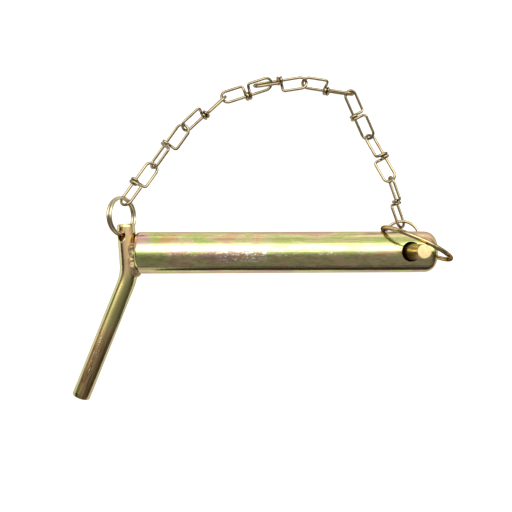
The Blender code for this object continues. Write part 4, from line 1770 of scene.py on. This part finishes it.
@dataclass(frozen=True)
class Studio:
    """Floor, dark card, surround and camera.

    The card lies on the floor in front of the pin. The steel mirrors it, and the camera doesn't see it.

    Attributes:
        distance: Camera to the pin's mid plane.
        tilt: Camera's turn about Y against the pin's frame.
        aim: Point of the pin's frame at the picture's middle.
        focal: Focal length in pixels of the photograph.
        picture: Width of the photograph in pixels.
        sensor: Width of the sensor in millimetres.
        roll: Turn of the picture.
        light: Brightness of the surround by its angle about X, from straight up towards +Y.
        sides: Share of that brightness by how far a direction leans towards -X or +X.
        floor: Corners of the floor.
        card: Corners of the dark card.
    """

    distance: float = 0.380
    tilt: float = math.radians(2.7)
    aim: tuple[float, float] = (-0.0930, -0.00224)
    focal: float = 620.0
    picture: float = 512.0
    sensor: float = 36.0
    roll: float = math.radians(0.22)
    light: tuple[Span, ...] = (
        (-92, 0.26), (-68, 0.27), (-30, 0.30), (-20, 0.33), (-13, 0.44), (-8, 0.60), (-3, 0.92), (3, 1.15),
        (12, 4.4), (34, 4.4), (46, 1.9), (58, 1.05), (76, 0.90), (92, 0.88))
    sides: tuple[Span, ...] = (
        (-1.0, 0.16), (-0.92, 0.16), (-0.87, 0.36), (-0.80, 0.68), (-0.72, 0.95), (0.50, 1.0), (0.70, 0.65),
        (0.86, 0.42), (0.92, 0.20), (1.0, 0.16))
    floor: tuple[Span, ...] = ((-3.0, -3.0), (3.0, -3.0), (3.0, 3.0), (-3.0, 3.0))
    card: tuple[Span, ...] = ((-0.070, -0.90), (0.90, -0.90), (0.90, -0.076), (-0.070, -0.062))

    def build(self) -> None:
        """Makes the floor, the card, the light and the camera."""
        self.sheet("floor", self.floor, -0.0001, 0.25, 0.95)
        card = self.sheet("dark_card", self.card, 0.001, 0.03, 0.0)
        card.visible_camera = False
        card.visible_shadow = False
        card.visible_diffuse = False
        self.surround()
        self.camera()
        settings = bpy.context.scene.view_settings
        settings.view_transform = "Standard"
        settings.look = "None"

    def sheet(self, name: str, corners: tuple[Span, ...], height: float, grey: float, glow: float
              ) -> bpy.types.Object:
        """Flat matt sheet that isn't part of the object.

        Args:
            name: Name of the sheet.
            corners: Its corners on the floor, counterclockwise.
            height: Its height.
            grey: Its colour.
            glow: White light that it gives off.

        Returns:
            The sheet.
        """
        mesh = bpy.data.meshes.new(name)
        mesh.from_pydata([(*corner, height) for corner in corners], [], [(0, 1, 2, 3)])
        made = bpy.data.objects.new(name, mesh)
        bpy.context.scene.collection.objects.link(made)
        material = bpy.data.materials.new(f"{name}_matt")
        material.use_nodes = True
        inputs = material.node_tree.nodes["Principled BSDF"].inputs
        inputs["Base Color"].default_value = (grey, grey, grey, 1.0)
        inputs["Roughness"].default_value = 0.9
        inputs["Emission Color"].default_value = (1.0, 1.0, 1.0, 1.0)
        inputs["Emission Strength"].default_value = glow
        mesh.materials.append(material)
        return made

    def surround(self) -> None:
        """Soft surround: a long light overhead towards +Y, and darker sides.

        One ramp gives the light by its angle about X, and the other dims it towards both ends of X.
        """
        world = bpy.context.scene.world or bpy.data.worlds.new("studio")
        bpy.context.scene.world = world
        world.use_nodes = True
        graph = Graph(world.node_tree, "Background")
        x, y, z = graph.parts(graph.node("ShaderNodeTexCoord", "Generated"))
        peak = max(level for _, level in self.light)
        stops = [(angle / 360.0 + 0.5, (level / peak,) * 3) for angle, level in self.light]
        light = graph.ramp(graph.math("ARCTAN2", y, z) / (2.0 * math.pi) + 0.5, stops)
        stops = [((reach + 1.0) / 2.0, (share,) * 3) for reach, share in self.sides]
        aside = graph.ramp((x + 1.0) / 2.0, stops)
        graph.feed(graph.shader.inputs["Color"], graph.blend(1.0, light, aside, "MULTIPLY"))
        graph.shader.inputs["Strength"].default_value = peak

    def camera(self) -> None:
        """Camera at the photograph's angle, set in the pin's frame."""
        view = np.array([math.sin(self.tilt), 0.0, -math.cos(self.tilt)])
        right = np.array([math.cos(self.tilt), 0.0, math.sin(self.tilt)])
        up = np.array([0.0, 1.0, 0.0])
        right, up = (right * math.cos(self.roll) - up * math.sin(self.roll),
                     up * math.cos(self.roll) + right * math.sin(self.roll))
        made = np.eye(4)
        made[:3, 0], made[:3, 1], made[:3, 2] = right, up, -view
        made[:3, 3] = np.array([*self.aim, 0.0]) - self.distance * view
        data = bpy.data.cameras.new("photo_camera")
        data.sensor_width = self.sensor
        data.lens = self.focal / self.picture * self.sensor
        data.clip_start = 0.01
        camera = bpy.data.objects.new("photo_camera", data)
        bpy.context.scene.collection.objects.link(camera)
        camera.matrix_world = Matrix((FRAME.matrix @ made).tolist())
        bpy.context.scene.camera = camera


@dataclass(frozen=True)
class ChainRingSeat:
    """How the second split ring leans on the linch ring.

    Attributes:
        tilt: Lean to the linch ring's side.
        pitch: Rise towards the chain.
        aside: Step of its middle along the linch ring.
        out: Step of its middle away from the cross hole.
        lift: Height of its middle over the floor.
    """

    tilt: float = math.radians(16.0)
    pitch: float = math.radians(7.0)
    aside: float = -0.0016
    out: float = 0.0090
    lift: float = 0.0060

    @property
    def matrix(self) -> Array:
        """Frame of the ring, with Y towards the chain.

        Returns:
            A 4 by 4 matrix.
        """
        turn = LinchShape().turn
        side = np.array([math.cos(turn), math.sin(turn), 0.0])
        out = np.array([-side[1], side[0], 0.0])
        above = np.array([0.0, 0.0, 1.0])
        middle = side * self.aside + out * self.out
        middle[2] = ShaftShape().floor_below(middle[0]) + self.lift
        tipped = side * math.cos(self.tilt) + above * math.sin(self.tilt)
        raised = out * math.cos(self.pitch) + above * math.sin(self.pitch)
        return FRAME.matrix @ axes_from(middle, tipped, raised)


def main() -> None:
    """Builds the dressed object, the studio and the camera."""
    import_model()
    Studio().build()
    shop = Workshop()
    chain_zinc, ring_zinc = CHAIN_FINISH.build(), SPLIT_FINISH.build()
    pin = Body.PIN.value
    Shaft().build(Piece("pin_shaft", pin, Slot.YELLOW, PIN_FINISH.build(PinMarks())), shop)
    Handle().build(Piece("handle_bar", pin, Slot.YELLOW, HANDLE_FINISH.build(HandleMarks())), shop)
    Weld().build(Piece("weld_bead", pin, Slot.DULL, WELD_FINISH.build()))
    LinchPin().build(Piece("linch_pin", pin, Slot.DULL, LINCH_FINISH.build(TipMarks())), shop)
    LinchRing().build(Piece("linch_ring", Body.SPRUNG_RING.value, Slot.GOLDEN, RING_FINISH.build()))
    _, middle, across, up, _ = RingSeat().solve()
    first_ring = FRAME.matrix @ axes_from(middle, across, up)
    last_ring = ChainRingSeat().matrix
    for node, body, matrix, start in (("handle_split_ring", Body.HANDLE_RING, first_ring, FIRST_RING_START),
                                      ("linch_split_ring", Body.CHAIN_RING, last_ring, 0.0)):
        SplitRing(matrix, start).build(Piece(node, body.value, Slot.CHAIN, ring_zinc))
    Chain(first_ring, last_ring).build(chain_zinc)


if __name__ == "__main__":
    main()
